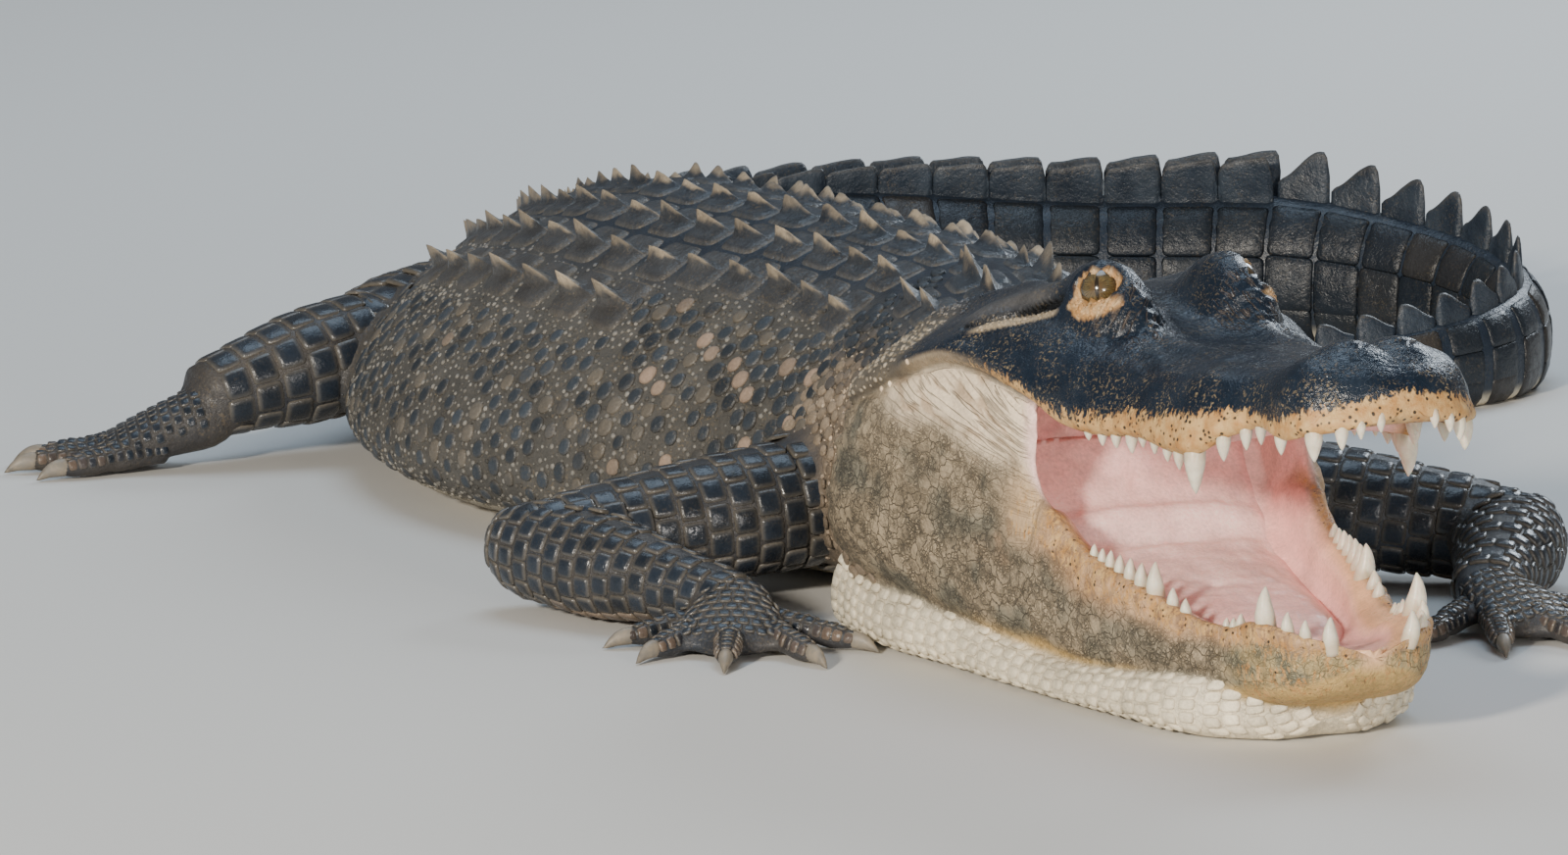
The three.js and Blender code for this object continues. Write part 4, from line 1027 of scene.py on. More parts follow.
    def mouth_space(self) -> Shape:
        """The open space between the jaws, with the look of the walls that it leaves in the cheeks."""
        x = np.linspace(self.back_wall, 215, 30)
        w = self.inner(x) + lerp(2, 12, smoothstep(x, 150, 205))
        floor = self.floor(x) + 1
        rings = sections(x, [(0, floor), (0.86 * w, floor + 2), (w, floor + 16), (w, 70), (w, 150), (0, 150)],
                         self.space_counts)
        points, faces = loft(rings)
        points = JAW_AXES.moved(points)
        tone = mix(flat_tone((0.88, 0.60, 0.55), len(points)), (0.80, 0.42, 0.40),
                   smoothstep(fractal(points, 26, 79), -0.2, 0.5))
        return Shape(points, faces, tone, flat_tone((0.6, 0.5, 0, 0), len(points)), 6, rings.shape[1])

    def throat_rings(self) -> Array:
        """Rings of the throat, lying on the floor."""
        x = np.concatenate([np.arange(-56, 390, 7.0), [394, 399, 404, 408, 412, 416, 420]])
        w, pitch = self.throat_half(x), math.radians(JAW_PITCH)
        low = -(JAW_JOINT_HEIGHT + x * math.sin(pitch)) / math.cos(pitch) - 5 + self.throat_lift(x)
        top = self.under(x) + 18
        rings = JAW_AXES.moved(sections(x, [
            (0, low), (0.6 * w, low), (0.92 * w, low + 10), (w, lerp(low, top, 0.5)), (0.93 * w, top - 4),
            (0.7 * w, top), (0, top)], self.throat_counts))
        rings[..., 2] = np.maximum(rings[..., 2], 0)
        return rings

    def throat_shape(self) -> Shape:
        """Skin of the throat."""
        rings = self.throat_rings()
        points, faces = loft(rings)
        tone = flat_tone(THROAT_CREAM, len(points)) * (1 + 0.15 * fractal(points, 20, 75))[:, None]
        return Shape(points, faces, tone, flat_tone((0.2, 0.5, 0.3, 0.1), len(points)), 12, rings.shape[1])


JAW = Jaw()


@dataclass
class Limb:
    """One stretch of a limb: rings along a straight line.

    Attributes:
        name: what it is.
        start: middle of the first end, mm.
        end: middle of the last end.
        sizes: (fraction of the length, half width, half height) for each place.
        grip: how far the skin may be smoothed near its seams.
        sides: points of a ring.
    """

    name: str
    start: Array
    end: Array
    sizes: list[tuple[float, float, float]]
    grip: float = 18.0
    sides: int = 40

    def __post_init__(self) -> None:
        """Finds its directions and reads its sizes."""
        self.start = np.array(self.start, float)
        reach = np.array(self.end, float) - self.start
        self.length = float(np.linalg.norm(reach))
        self.along = reach / self.length
        self.across = unit(np.cross(self.along, np.array([0, 0, 1.0])))
        self.over = np.cross(self.across, self.along)
        self.wide, self.high = column(self.sizes, 1), column(self.sizes, 2)

    def surface(self, t: Array, turn: Array) -> Array:
        """Points at a fraction of the length and a turn, 0 on top, going round to 1.

        Args:
            t: fractions of the length.
            turn: turns round the limb.

        Returns:
            Places in mm.
        """
        t, turn = np.broadcast_arrays(np.asarray(t, float), np.asarray(turn, float))
        angle = turn * 2 * math.pi
        side = self.wide(t) * power_of(np.sin(angle), 0.93)
        rise = self.high(t) * power_of(np.cos(angle), 0.93)
        middle = self.start + self.along * (t * self.length)[..., None]
        point = middle + self.across * side[..., None] + self.over * rise[..., None]
        point[..., 2] = np.maximum(point[..., 2], 0.0)
        return point

    def rings(self, count: int, sides: int) -> tuple[Array, Array]:
        """Fractions of the length, and the rings there."""
        t = np.linspace(self.sizes[0][0], self.sizes[-1][0], count)
        return t, self.surface(*np.meshgrid(t, np.linspace(0, 1, sides, endpoint=False), indexing="ij"))

    def shape(self) -> Shape:
        """Closed loft, in the colour that shows between the scales."""
        count = max(6, int(self.length * (self.sizes[-1][0] - self.sizes[0][0]) / 8))
        points, faces = loft(self.rings(count, self.sides)[1])
        tone = mix(flat_tone(BLUE_BLACK * 1.5, len(points)), (0.07, 0.058, 0.045), 0.5 + 0.6 * fractal(points, 40, 81))
        return Shape(points, faces, tone, flat_tone((0.6, 0.6, 0.15, 0.3), len(points)), self.grip, self.sides)


@dataclass
class Paw:
    """A hand or foot: a palm and digits with claws.

    Attributes:
        name: what it is.
        wrist: where it begins.
        heading: direction in degrees.
        spread: angle between the middle and the outer digits.
        lengths: length of each digit from the wrist.
        palm: (distance, height of the middle, half width, half height) for each place.
        radius: of a digit.
    """

    name: str
    wrist: tuple[float, float, float]
    heading: float
    spread: float
    lengths: list[float]
    palm: tuple
    radius: float

    def _reach(self, turn: float, distance: float, height: float) -> Array:
        """Place at a heading in degrees and a distance from the wrist.

        Args:
            turn: the heading.
            distance: mm.
            height: mm above the floor.

        Returns:
            The place.
        """
        a = math.radians(turn)
        place = np.array(self.wrist) + np.array([math.sin(a), -math.cos(a), 0.0]) * distance
        return np.array([place[0], place[1], height])

    def palm_limb(self) -> Limb:
        """The palm as a short limb."""
        (_, _, w0, h0), (reach, height, w1, h1) = self.palm[0], self.palm[-1]
        sizes = [(-0.25, w0 * 0.8, h0 * 0.8)] + [(d / reach, w, h) for d, _, w, h in self.palm]
        sizes += [(1.12, w1 * 0.7, h1 * 0.7)]
        return Limb(self.name + "_palm", self.wrist, self._reach(self.heading, reach, height), sizes, 9, 32)

    def digits(self) -> list[Limb]:
        """Digits from the palm outwards."""
        shape = ((0.0, 1.35, 1.15), (0.25, 1.2, 1.05), (0.42, 1.12, 1.12), (0.55, 0.98, 0.9), (0.7, 1.05, 1.0),
                 (0.85, 0.85, 0.8), (0.95, 0.75, 0.75), (1.0, 0.4, 0.5))
        made = []
        for i, length in enumerate(self.lengths):
            turn = self.heading + lerp(-self.spread, self.spread, i / (len(self.lengths) - 1))
            start, end = self._reach(turn, length * 0.3, self.radius + 6), self._reach(turn, length, self.radius * 0.75)
            sizes = [(t, self.radius * w, self.radius * h) for t, w, h in shape]
            made.append(Limb(f"{self.name}_digit_{i + 1}", start, end, sizes, 4, 16))
        return made


LIMB_JOINTS = {
    "right": dict(
        shoulder=(-18, -416, 66), elbow=(-230, -434, 42), wrist=(-128, -574, 26), hand=-18,
        hip=(-46, 394, 66), knee=(-194, 246, 78), ankle=(-330, 208, 50), foot=-100,
    ),
    "left": dict(
        shoulder=(240, -414, 66), elbow=(446, -516, 34), wrist=(376, -654, 24), hand=20,
        hip=(86, 372, 66), knee=(238, 262, 66), ankle=(300, 400, 36), foot=66,
    ),
}
# first joint, last joint, sizes, grip
LIMB_STRETCHES = {
    "upper_arm": ("shoulder", "elbow", (
        (0, 50, 44), (0.4, 46, 41), (0.75, 39, 36), (0.95, 35, 33), (1.06, 27, 26), (1.12, 16, 16)), 30),
    "forearm": ("elbow", "wrist", (
        (-0.2, 14, 16), (-0.12, 26, 26), (0.0, 33, 32), (0.3, 36, 33), (0.7, 27, 24), (1.0, 24, 17)), 14),
    "thigh": ("hip", "knee", (
        (0, 70, 42), (0.4, 66, 55), (0.7, 56, 53), (0.95, 47, 45), (1.08, 36, 35), (1.16, 20, 20)), 34),
    "shank": ("knee", "ankle", (
        (-0.22, 18, 18), (-0.12, 34, 33), (0.05, 43, 42), (0.35, 44, 41), (0.75, 33, 32), (1.0, 27, 25)), 16),
}


def limbs() -> list[Limb]:
    """Every stretch of every limb."""
    return [Limb(f"{name}_{side}", joints[first], joints[last], sizes, grip)
            for side, joints in LIMB_JOINTS.items() for name, (first, last, sizes, grip) in LIMB_STRETCHES.items()]


def paws() -> list[Paw]:
    """Hands and feet."""
    made = []
    for side, j in LIMB_JOINTS.items():
        lengths = [78, 94, 108, 106, 92][:: -1 if side == "left" else 1]
        made.append(Paw(f"hand_{side}", j["wrist"], j["hand"], 66, lengths,
                        ((0, 22, 24, 16), (14, 19, 27, 15), (36, 14, 34, 13), (60, 9, 34, 9)), 8.5))
        made.append(Paw(f"foot_{side}", (*j["ankle"][:2], 36), j["foot"], 25, [104, 124, 130, 118],
                        ((0, 38, 26, 23), (18, 34, 28, 21), (42, 24, 33, 17), (76, 11, 38, 9)), 9.5))
    return made


@dataclass
class Skin:
    """The single closed skin of the animal.

    Attributes:
        seam: a point further than this from every loft, in mm, lies on a seam.
        wide_grip: lofts with a grip above this also smooth their narrower neighbours.
        rounds: how often the seams are smoothed.
    """

    seam: float = 0.02
    wide_grip: float = 20.0
    rounds: int = 26

    def __post_init__(self) -> None:
        """Makes the legs and feet."""
        self.limbs, self.paws = limbs(), paws()

    def build(self) -> Object:
        """Joins all the lofts and smooths the skin where they meet."""
        cheek, space = JAW.cheek_shape(), JAW.mouth_space()
        shapes = [BODY.shape(), JAW.throat_shape(), JAW.shape(), HEAD.shape()]
        shapes += [limb.shape() for limb in self.limbs]
        for paw in self.paws:
            shapes += [limb.shape() for limb in [paw.palm_limb()] + paw.digits()]
        joined = mesh_object("cheek", cheek.points, cheek.faces)
        combine(joined, [mesh_object("mouth space", space.points, space.faces)], "DIFFERENCE")
        base = mesh_object("hide_skin", shapes[0].points, shapes[0].faces)
        others = [mesh_object(f"skin part {i}", s.points, s.faces) for i, s in enumerate(shapes[1:])]
        combine(base, [joined] + others, "UNION")
        shapes += [cheek, space]
        for number, shape in enumerate(shapes):
            shape.unwrap(number)
        self._dress(base.data, shapes)
        log.info("skin: %d points, %d faces", len(base.data.vertices), len(base.data.polygons))
        return base

    def _dress(self, mesh: bpy.types.Mesh, shapes: list[Shape]) -> None:
        """Takes each point's look from the loft it came from, then smooths the seams.

        Args:
            mesh: the joined skin.
            shapes: the lofts it was joined from.
        """
        count = len(mesh.vertices)
        co = np.empty(count * 3, np.float32)
        mesh.vertices.foreach_get("co", co)
        co = co.reshape(-1, 3) / MM
        grips = np.concatenate([np.full(len(s.points), s.relax) for s in shapes])
        index, distance = nearest(np.concatenate([s.points for s in shapes]), co)
        seam = distance > self.seam
        tone = np.concatenate([s.tone for s in shapes])[index]
        look = np.concatenate([s.look for s in shapes])[index]
        grip = grips[index]
        k, gap = nearest(co[seam], co)
        other = grip[seam][k]
        reach = np.where(grip < self.wide_grip, np.minimum(grip, other), np.maximum(grip, other))
        near = np.maximum(0.0, 1 - gap / reach)
        near[seam] = 1
        edges = np.empty(len(mesh.edges) * 2, np.int32)
        mesh.edges.foreach_get("vertices", edges)
        edges = edges.reshape(-1, 2)
        co = relaxed(co, edges, smoothstep(near, 0, 0.7), self.rounds)
        tone, look = (relaxed(v, edges, smoothstep(near, 0.2, 0.9) * 0.8, 8) for v in (tone, look))
        co[:, 2] = np.maximum(co[:, 2], 0)
        mesh.vertices.foreach_set("co", (co * MM).astype(np.float32).ravel())
        mesh.polygons.foreach_set("use_smooth", [True] * len(mesh.polygons))
        mesh.update()
        store_look(mesh, tone, np.maximum(look, 0))


def nearest(sources: Array, points: Array) -> tuple[Array, Array]:
    """Number and distance of the source nearest to each point.

    Args:
        sources: places to find.
        points: places to search from.

    Returns:
        The numbers and the distances.
    """
    tree = KDTree(len(sources))
    for i, p in enumerate(sources):
        tree.insert(p, i)
    tree.balance()
    found = [tree.find(p)[1:] for p in points]
    return np.array([i for i, _ in found]), np.array([d for _, d in found])


def relaxed(values: Array, edges: Array, weight: Array, rounds: int) -> Array:
    """Moves each value towards the mean of its neighbours.

    Args:
        values: one row for each point.
        edges: pairs of neighbours.
        weight: how far each may move.
        rounds: how often.

    Returns:
        The new rows.
    """
    a, b = edges.T
    count = len(values)
    degree = np.maximum(np.bincount(a, minlength=count) + np.bincount(b, minlength=count), 1)
    values = values.astype(float)
    for _ in range(rounds):
        total = np.stack([np.bincount(a, column_[b], count) + np.bincount(b, column_[a], count)
                          for column_ in values.T], -1)
        values += (total / degree[:, None] - values) * (weight * 0.6)[:, None]
    return values


def combine(base: Object, others: list[Object], operation: str) -> None:
    """Joins or cuts closed meshes and keeps the result as base's mesh.

    Args:
        base: the object that stays.
        others: objects that are used up.
        operation: UNION or DIFFERENCE.
    """
    for other in others:
        step = base.modifiers.new(other.name, "BOOLEAN")
        step.operation, step.solver, step.object = operation, "MANIFOLD", other
    graph = bpy.context.evaluated_depsgraph_get()
    mesh = bpy.data.meshes.new_from_object(base.evaluated_get(graph))
    base.modifiers.clear()
    old, base.data = base.data, mesh
    mesh.materials.clear()
    mesh.polygons.foreach_set("material_index", [0] * len(mesh.polygons))
    bpy.data.meshes.remove(old)
    for other in others:
        data = other.data
        bpy.data.objects.remove(other)
        bpy.data.meshes.remove(data)


@dataclass
class Grid:
    """A surface given by closed rings of points, which can be read anywhere between them.

    Attributes:
        rings: (rings, sides, 3) places in mm.
        marks: what each ring is measured by, rising.
        cell: corner and size of its part of the unwrap.
    """

    rings: Array
    marks: Array
    cell: tuple[float, float, float, float]

    def __post_init__(self) -> None:
        """Finds the outward directions."""
        self.count, self.sides = self.rings.shape[:2]
        self.normals = ring_normals(self.rings)

    def read(self, values: Array, i: Array, j: Array) -> Array:
        """Values of the grid at ring i and side j, which need not be whole.

        Args:
            values: one row for each point of the grid.
            i: rings.
            j: sides.

        Returns:
            The values there.
        """
        i = np.clip(i, 0, self.count - 1.001)
        i0, j0 = np.floor(i).astype(int), np.floor(j).astype(int)
        f, g = (i - i0)[..., None], (j - j0)[..., None]
        a, b = j0 % self.sides, (j0 + 1) % self.sides
        low = values[i0, a] * (1 - g) + values[i0, b] * g
        return low * (1 - f) + (values[i0 + 1, a] * (1 - g) + values[i0 + 1, b] * g) * f

    def place(self, i: Array, j: Array) -> Array:
        """Points of the surface."""
        return self.read(self.rings, i, j)

    def outward(self, i: Array, j: Array) -> Array:
        """Outward directions."""
        return unit(self.read(self.normals, i, j))

    def ring_of(self, mark: float) -> float:
        """Ring number at a mark."""
        return float(np.interp(mark, self.marks, np.arange(self.count)))

    def steps(self, i: Array, j: Array) -> tuple[Array, Array]:
        """Length in mm of one ring and of one side, there.

        Args:
            i: rings.
            j: sides.

        Returns:
            Both lengths.
        """
        along = np.linalg.norm(self.place(i + 0.5, j) - self.place(i - 0.5, j), axis=-1)
        around = np.linalg.norm(self.place(i, j + 0.5) - self.place(i, j - 0.5), axis=-1)
        return np.maximum(along, 1e-3), np.maximum(around, 1e-3)

    def row(self, i: float, ends: tuple[float, float], pitch: float, shift: float = 0.0) -> Iterator[tuple]:
        """Even places round a ring.

        Args:
            i: ring.
            ends: first and last side.
            pitch: wished distance in mm.
            shift: fraction of a place to move them by.

        Yields:
            The side of each, and the exact pitch.
        """
        fine = np.linspace(*ends, 160)
        points = self.place(np.full(160, i), fine)
        run = np.concatenate([[0], np.cumsum(np.linalg.norm(np.diff(points, axis=0), axis=1))])
        number = max(1, int(round(run[-1] / pitch)))
        exact = run[-1] / number
        at = (np.arange(number) + 0.5 + shift) * exact
        for j in np.interp(at[at < run[-1]], run, fine):
            yield j, exact


@dataclass
class Scales:
    """Scales on one surface, each a closed low dome or plate.

    Attributes:
        grid: surface that carries them.
        i: ring of each root.
        j: side of each root.
        long: half length in mm.
        wide: half width in mm.
        rise: height in mm.
        tone: colour of each.
        edge: colour of the rims.
        look: wet, grain, crack and speck of each.
        square: 2 is an oval, 6 nearly a rectangle.
        sides: points round the rim.
        tilt: how much the rear stands higher.
        slack: how far a root may lie from the finished skin.
        levels: reach, height and share of the rim's colour of each ring.
        patch: size of a scale on the unwrap.
    """

    grid: Grid
    i: Array
    j: Array
    long: Array
    wide: Array
    rise: Array
    tone: Array
    edge: Array
    look: Array
    square: float
    sides: int
    tilt: float
    slack: float
    levels: tuple = ((0.6, 0.97, 0.05), (0.88, 0.66, 0.45), (1.0, -0.35, 1.0))
    patch: float = 0.0015

    def _settled(self, tree: BVHTree) -> tuple[Array, Array]:
        """Which scales lie on the finished skin, and the way from each root to it.

        Args:
            tree: the finished skin, in metres.

        Returns:
            One truth value and one step in mm for each.
        """
        roots, normals = self.grid.place(self.i, self.j), self.grid.outward(self.i, self.j)
        shift, keep = np.zeros_like(roots), np.zeros(len(roots), bool)
        for k, (root, normal) in enumerate(zip(roots, normals)):
            hit, face, _, _ = tree.find_nearest(Vector(root * MM))
            shift[k] = np.array(hit) / MM - root
            keep[k] = np.linalg.norm(shift[k]) < self.slack and np.dot(np.array(face), normal) > 0.6
        return keep & (roots[:, 2] > 2.5), shift

    def _triangles(self) -> Array:
        """Triangles of one scale."""
        n = self.sides
        k = np.arange(n)
        m = (k + 1) % n
        faces = [np.stack([0 * k, 1 + k, 1 + m], -1)]
        for p in (1, 1 + n):
            faces += [np.stack([p + k, p + n + k, p + n + m], -1), np.stack([p + k, p + n + m, p + m], -1)]
        return np.concatenate(faces + [np.stack([0 * k + 1 + 3 * n, 1 + 2 * n + m, 1 + 2 * n + k], -1)])

    def build(self, tree: BVHTree) -> Part:
        """Makes the scales that lie on the skin.

        Args:
            tree: the finished skin, in metres.

        Returns:
            All of them as one part of a mesh.
        """
        keep, shift = self._settled(tree)
        i, j, shift = self.i[keep], self.j[keep], shift[keep]
        step_i, step_j = self.grid.steps(i, j)
        angle = np.arange(self.sides) / self.sides * 2 * math.pi
        la, lb = (power_of(wave(angle), 2 / self.square) for wave in (np.cos, np.sin))
        a, b = (np.concatenate([[0.0]] + [wave * r for r, _, _ in self.levels] + [[0.0]]) for wave in (la, lb))
        h, rim = (np.concatenate([[first]] + [np.full(self.sides, level[k]) for level in self.levels] + [[last]])
                  for k, first, last in ((1, 1.0, -0.6), (2, 0.0, 1.0)))
        h = h * (1 + self.tilt * a)
        vi = i[:, None] + a[None] * (self.long[keep] / step_i)[:, None]
        vj = j[:, None] + b[None] * (self.wide[keep] / step_j)[:, None]
        points = self.grid.place(vi, vj) + shift[:, None]
        points += self.grid.outward(vi, vj) * (h[None] * self.rise[keep][:, None])[..., None]
        points[..., 2] = np.maximum(points[..., 2], 0.2)
        points = points.reshape(-1, 3)
        tone = self.tone[keep][:, None] * (1 - rim)[None, :, None] + self.edge[keep][:, None] * rim[None, :, None]
        look = np.repeat(self.look[keep][:, None], len(a), 1)
        u0, v0, du, dv = self.grid.cell
        root_uv = np.stack([u0 + du * i / self.grid.count, v0 + dv * (j / self.grid.sides % 1.0)], -1)
        uv = root_uv[:, None] + self.patch * np.stack([a, b], -1)[None]
        triangles = (self._triangles()[None] + (np.arange(len(i)) * len(a))[:, None, None]).reshape(-1, 3)
        return points, outwards(points, triangles), tone.reshape(-1, 3), look.reshape(-1, 4), uv.reshape(-1, 2)


def triangle_object(name: str, parts: list[Part], material: Material) -> Object:
    """One mesh from many parts, with colours, looks and the unwrap of the bake.

    Args:
        name: name of the object.
        parts: what it is made of.
        material: its finish.

    Returns:
        The object.
    """
    starts = np.cumsum([0] + [len(part[0]) for part in parts])
    faces = np.concatenate([part[1] + start for part, start in zip(parts, starts)]).astype(np.int32)
    points, tone, look, uv = (np.concatenate([part[k] for part in parts]) for k in (0, 2, 3, 4))
    mesh = bpy.data.meshes.new(name)
    mesh.vertices.add(len(points))
    mesh.vertices.foreach_set("co", (points * MM).astype(np.float32).ravel())
    mesh.loops.add(len(faces) * 3)
    mesh.loops.foreach_set("vertex_index", faces.ravel())
    mesh.polygons.add(len(faces))
    mesh.polygons.foreach_set("loop_start", np.arange(0, len(faces) * 3, 3, dtype=np.int32))
    mesh.update(calc_edges=True)
    made = placed(name, mesh)
    store_look(mesh, tone, np.clip(look, 0, 1))
    layer = mesh.uv_layers.new(name="OFBake")
    layer.uv.foreach_set("vector", uv[faces.ravel()].astype(np.float32).ravel())
    mesh.materials.append(material)
    return made


def rings_part(rings: Array, tone: Array, look: tuple[float, ...]) -> Part:
    """One closed loft as a part of a mesh.

    Args:
        rings: (rings, sides, 3) places in mm.
        tone: colour of each ring point.
        look: the same for all.

    Returns:
        The part.
    """
    points, faces = loft(rings)
    triangles = []
    for face in faces:
        triangles += [face[:3], [face[0], face[2], face[3]]] if len(face) == 4 else [face]
    tone = tone.reshape(rings.shape)
    tones = np.concatenate([tone.reshape(-1, 3), [tone[0].mean(0), tone[-1].mean(0)]])
    return points, np.array(triangles), tones, flat_tone(look, len(points)), np.zeros((len(points), 2))


TRUNK_FRONT = 234.0
ROW_PITCH = 47.3
# distance, side, length, width, keel
NUCHAL_SHIELDS = (
    (112, 22, 46, 40, 18), (162, 24, 50, 44, 20), (118, 62, 34, 34, 15), (166, 66, 34, 32, 15),
    (52, 24, 22, 22, 9), (66, 58, 20, 20, 9), (206, 20, 28, 26, 11),
)


@dataclass
class Scute:
    """One bony plate with a keel.

    Attributes:
        s: distance behind the jaw joint.
        side: distance from the spine, left positive.
        length: mm.
        width: mm.
        keel: height of the keel.
        seed: for its small differences.
        plate: height of the plate.
        rows: places along it.
        columns: places across it.
    """

    s: float
    side: float
    length: float
    width: float
    keel: float
    seed: int
    plate: float = 3.0
    rows: int = 18
    columns: int = 17

    def build(self) -> Part:
        """The plate with its keel, and a flat underside in the skin."""
        u, v = np.linspace(-1, 1, self.rows), power_of(np.linspace(-1, 1, self.columns), 1.7)
        gu, gv = np.meshgrid(u, v, indexing="ij")
        q = (np.abs(gu) ** 5 + np.abs(gv) ** 5) ** 0.2
        shrink = 1 / np.maximum(1, q)
        gu, gv, q = gu * shrink, gv * shrink, np.minimum(q, 1)
        wobble = fractal(np.stack([gu * 3 + self.seed * 7.1, gv * 3, gu * 0], -1), 1.4, self.seed)
        # keel
        peak = -0.7 + 0.05 * wobble[0, 0]
        front = np.clip((0.95 - gu) / (0.95 - peak), 0, 1) ** 1.5
        back = np.clip((gu + 0.98) / (peak + 0.98), 0, 1) ** 0.8
        ridge = np.sin(np.where(gu > peak, front, back) * math.pi / 2) * (1 + 0.16 * wobble)
        reach = 0.12 + 0.16 * ridge
        blade = 0.84 * np.clip(1 - np.abs(gv) / reach, 0, 1) ** 1.1
        blade += 0.16 * np.clip(1 - np.abs(gv) / (3.0 * reach), 0, 1) ** 2
        rise = self.plate * fade(q, 0.8, 1.0) + self.keel * ridge * blade
        rise += 0.55 * wobble * fade(q, 0.7, 0.95) - 0.9 * smoothstep(q, 0.93, 1.0)
        # places
        s = self.s - gu * self.length / 2
        turn = BODY.turn_of_side(s, self.side + gv * self.width / 2)
        point, outward = (v.reshape(gu.shape + (3,)) for v in BODY.axes(s.ravel(), turn.ravel()))
        lean = SPINE.frame(s)[2] * (np.sign(self.side) * 0.1)
        top = point + outward * rise[..., None] + lean * (self.keel * ridge * blade)[..., None]
        # colours
        streak = fractal(np.stack([gu * 2.2 + self.seed, gv * 9, gu * 0], -1), 1.0, self.seed + 5)
        bone = smoothstep((0.3 + 0.7 * ridge) * blade + 0.4 * streak, 0.36, 0.72)
        bone = (bone * (0.45 + 0.5 * hashed([self.seed, 7, 1], 5))).ravel()
        tone = mix(flat_tone(BLUE_BLACK * 1.1, gu.size), SLATE * 0.9, (0.4 + 0.6 * wobble).ravel())
        tone = mix(tone, GREY_TAN * 0.75, np.full(gu.size, 0.35 * np.clip(np.abs(self.side) / 150, 0, 1)))
        tone = mix(tone, GREY_TAN, smoothstep(q, 0.86, 1.0).ravel() * 0.7)
        tone = mix(tone, BONE * (0.85 + 0.35 * hashed([self.seed, 3, 1], 5)), bone)
        look = flat_tone((0, 0.8, 0.1, 0.35), gu.size)
        look[:, 0] = lerp(0.72, 0.3, bone)
        return self._closed(top, point - outward * 2.0, tone, look)

    def _closed(self, top: Array, low: Array, tone: Array, look: Array) -> Part:
        """Closes the plate below.

        Args:
            top: grid of places of the upper side.
            low: the same places in the skin.
            tone: colour of each.
            look: look of each.

        Returns:
            The plate as a part of a mesh.
        """
        n, m = top.shape[:2]
        rim = [(i, 0) for i in range(n)] + [(n - 1, j) for j in range(1, m)]
        rim += [(i, m - 1) for i in range(n - 2, -1, -1)] + [(0, j) for j in range(m - 2, 0, -1)]
        under = np.array([low[i, j] for i, j in rim])
        points = np.concatenate([top.reshape(-1, 3), under, [under.mean(0)]])
        count = n * m
        i, j = np.meshgrid(np.arange(n - 1), np.arange(m - 1), indexing="ij")
        a = (i * m + j).ravel()
        ring = np.array([i * m + j for i, j in rim])
        k = np.arange(len(ring))
        after = (k + 1) % len(ring)
        triangles = np.concatenate([
            np.stack([a, a + m, a + m + 1], -1), np.stack([a, a + m + 1, a + 1], -1),
            np.stack([ring, count + after, count + k], -1), np.stack([ring, ring[after], count + after], -1),
            np.stack([count + k, count + after, np.full(len(k), count + len(ring))], -1),
        ])
        tone, look = (np.concatenate([v, np.tile(v.mean(0), (len(points) - count, 1))]) for v in (tone, look))
        return points, outwards(points, triangles), tone, look, np.zeros((len(points), 2))


@dataclass
class Back:
    """The keeled scutes of the back and the shields of the neck.

    Attributes:
        rows: rows across the back.
        length: of a scute in mm.
        covered: share of the half width that carries them.
    """

    rows: int = 18
    length: float = 41.0
    covered: float = 0.745

    def __post_init__(self) -> None:
        """Reads how far apart they stand."""
        self.spacing = monotone(((234, 38), (340, 37), (460, 40), (620, 41), (850, 40), (960, 36), (1086, 32)))

    def on_a_side(self, s: float) -> int:
        """How many scutes lie on each side of the spine."""
        return int(self.covered * float(BODY.half(s)) / float(self.spacing(s)))

    def reach(self, s: float) -> float:
        """How far out from the spine the scutes reach."""
        return self.on_a_side(s) * float(self.spacing(s))

    def scutes(self) -> list[Scute]:
        """Every plate."""
        made = []
        for row in range(self.rows):
            s = TRUNK_FRONT + (row + 0.5) * ROW_PITCH
            spacing, across = float(self.spacing(s)), 2 * self.on_a_side(s)
            for k in range(across):
                place = k - (across - 1) / 2
                outer = abs(place) / 3.5
                length = self.length * (1 - 0.15 * outer)
                keel = lerp(11, 16, min(outer, 1)) * (0.55 + 0.6 * hashed([row, k, 1], SEED))
                made.append(Scute(s, place * spacing, length * 1.08, spacing * 0.97, keel, row * 20 + k + 1))
        for (number, (s, side, *sizes)), hand in product(enumerate(NUCHAL_SHIELDS), HANDS):
            made.append(Scute(s, side * hand, *sizes, 900 + number * 2 + (hand > 0)))
        return made

    def build(self, material: Material) -> Object:
        """All of them as one mesh."""
        return triangle_object("dorsal_scutes", [scute.build() for scute in self.scutes()], material)


BACK = Back()


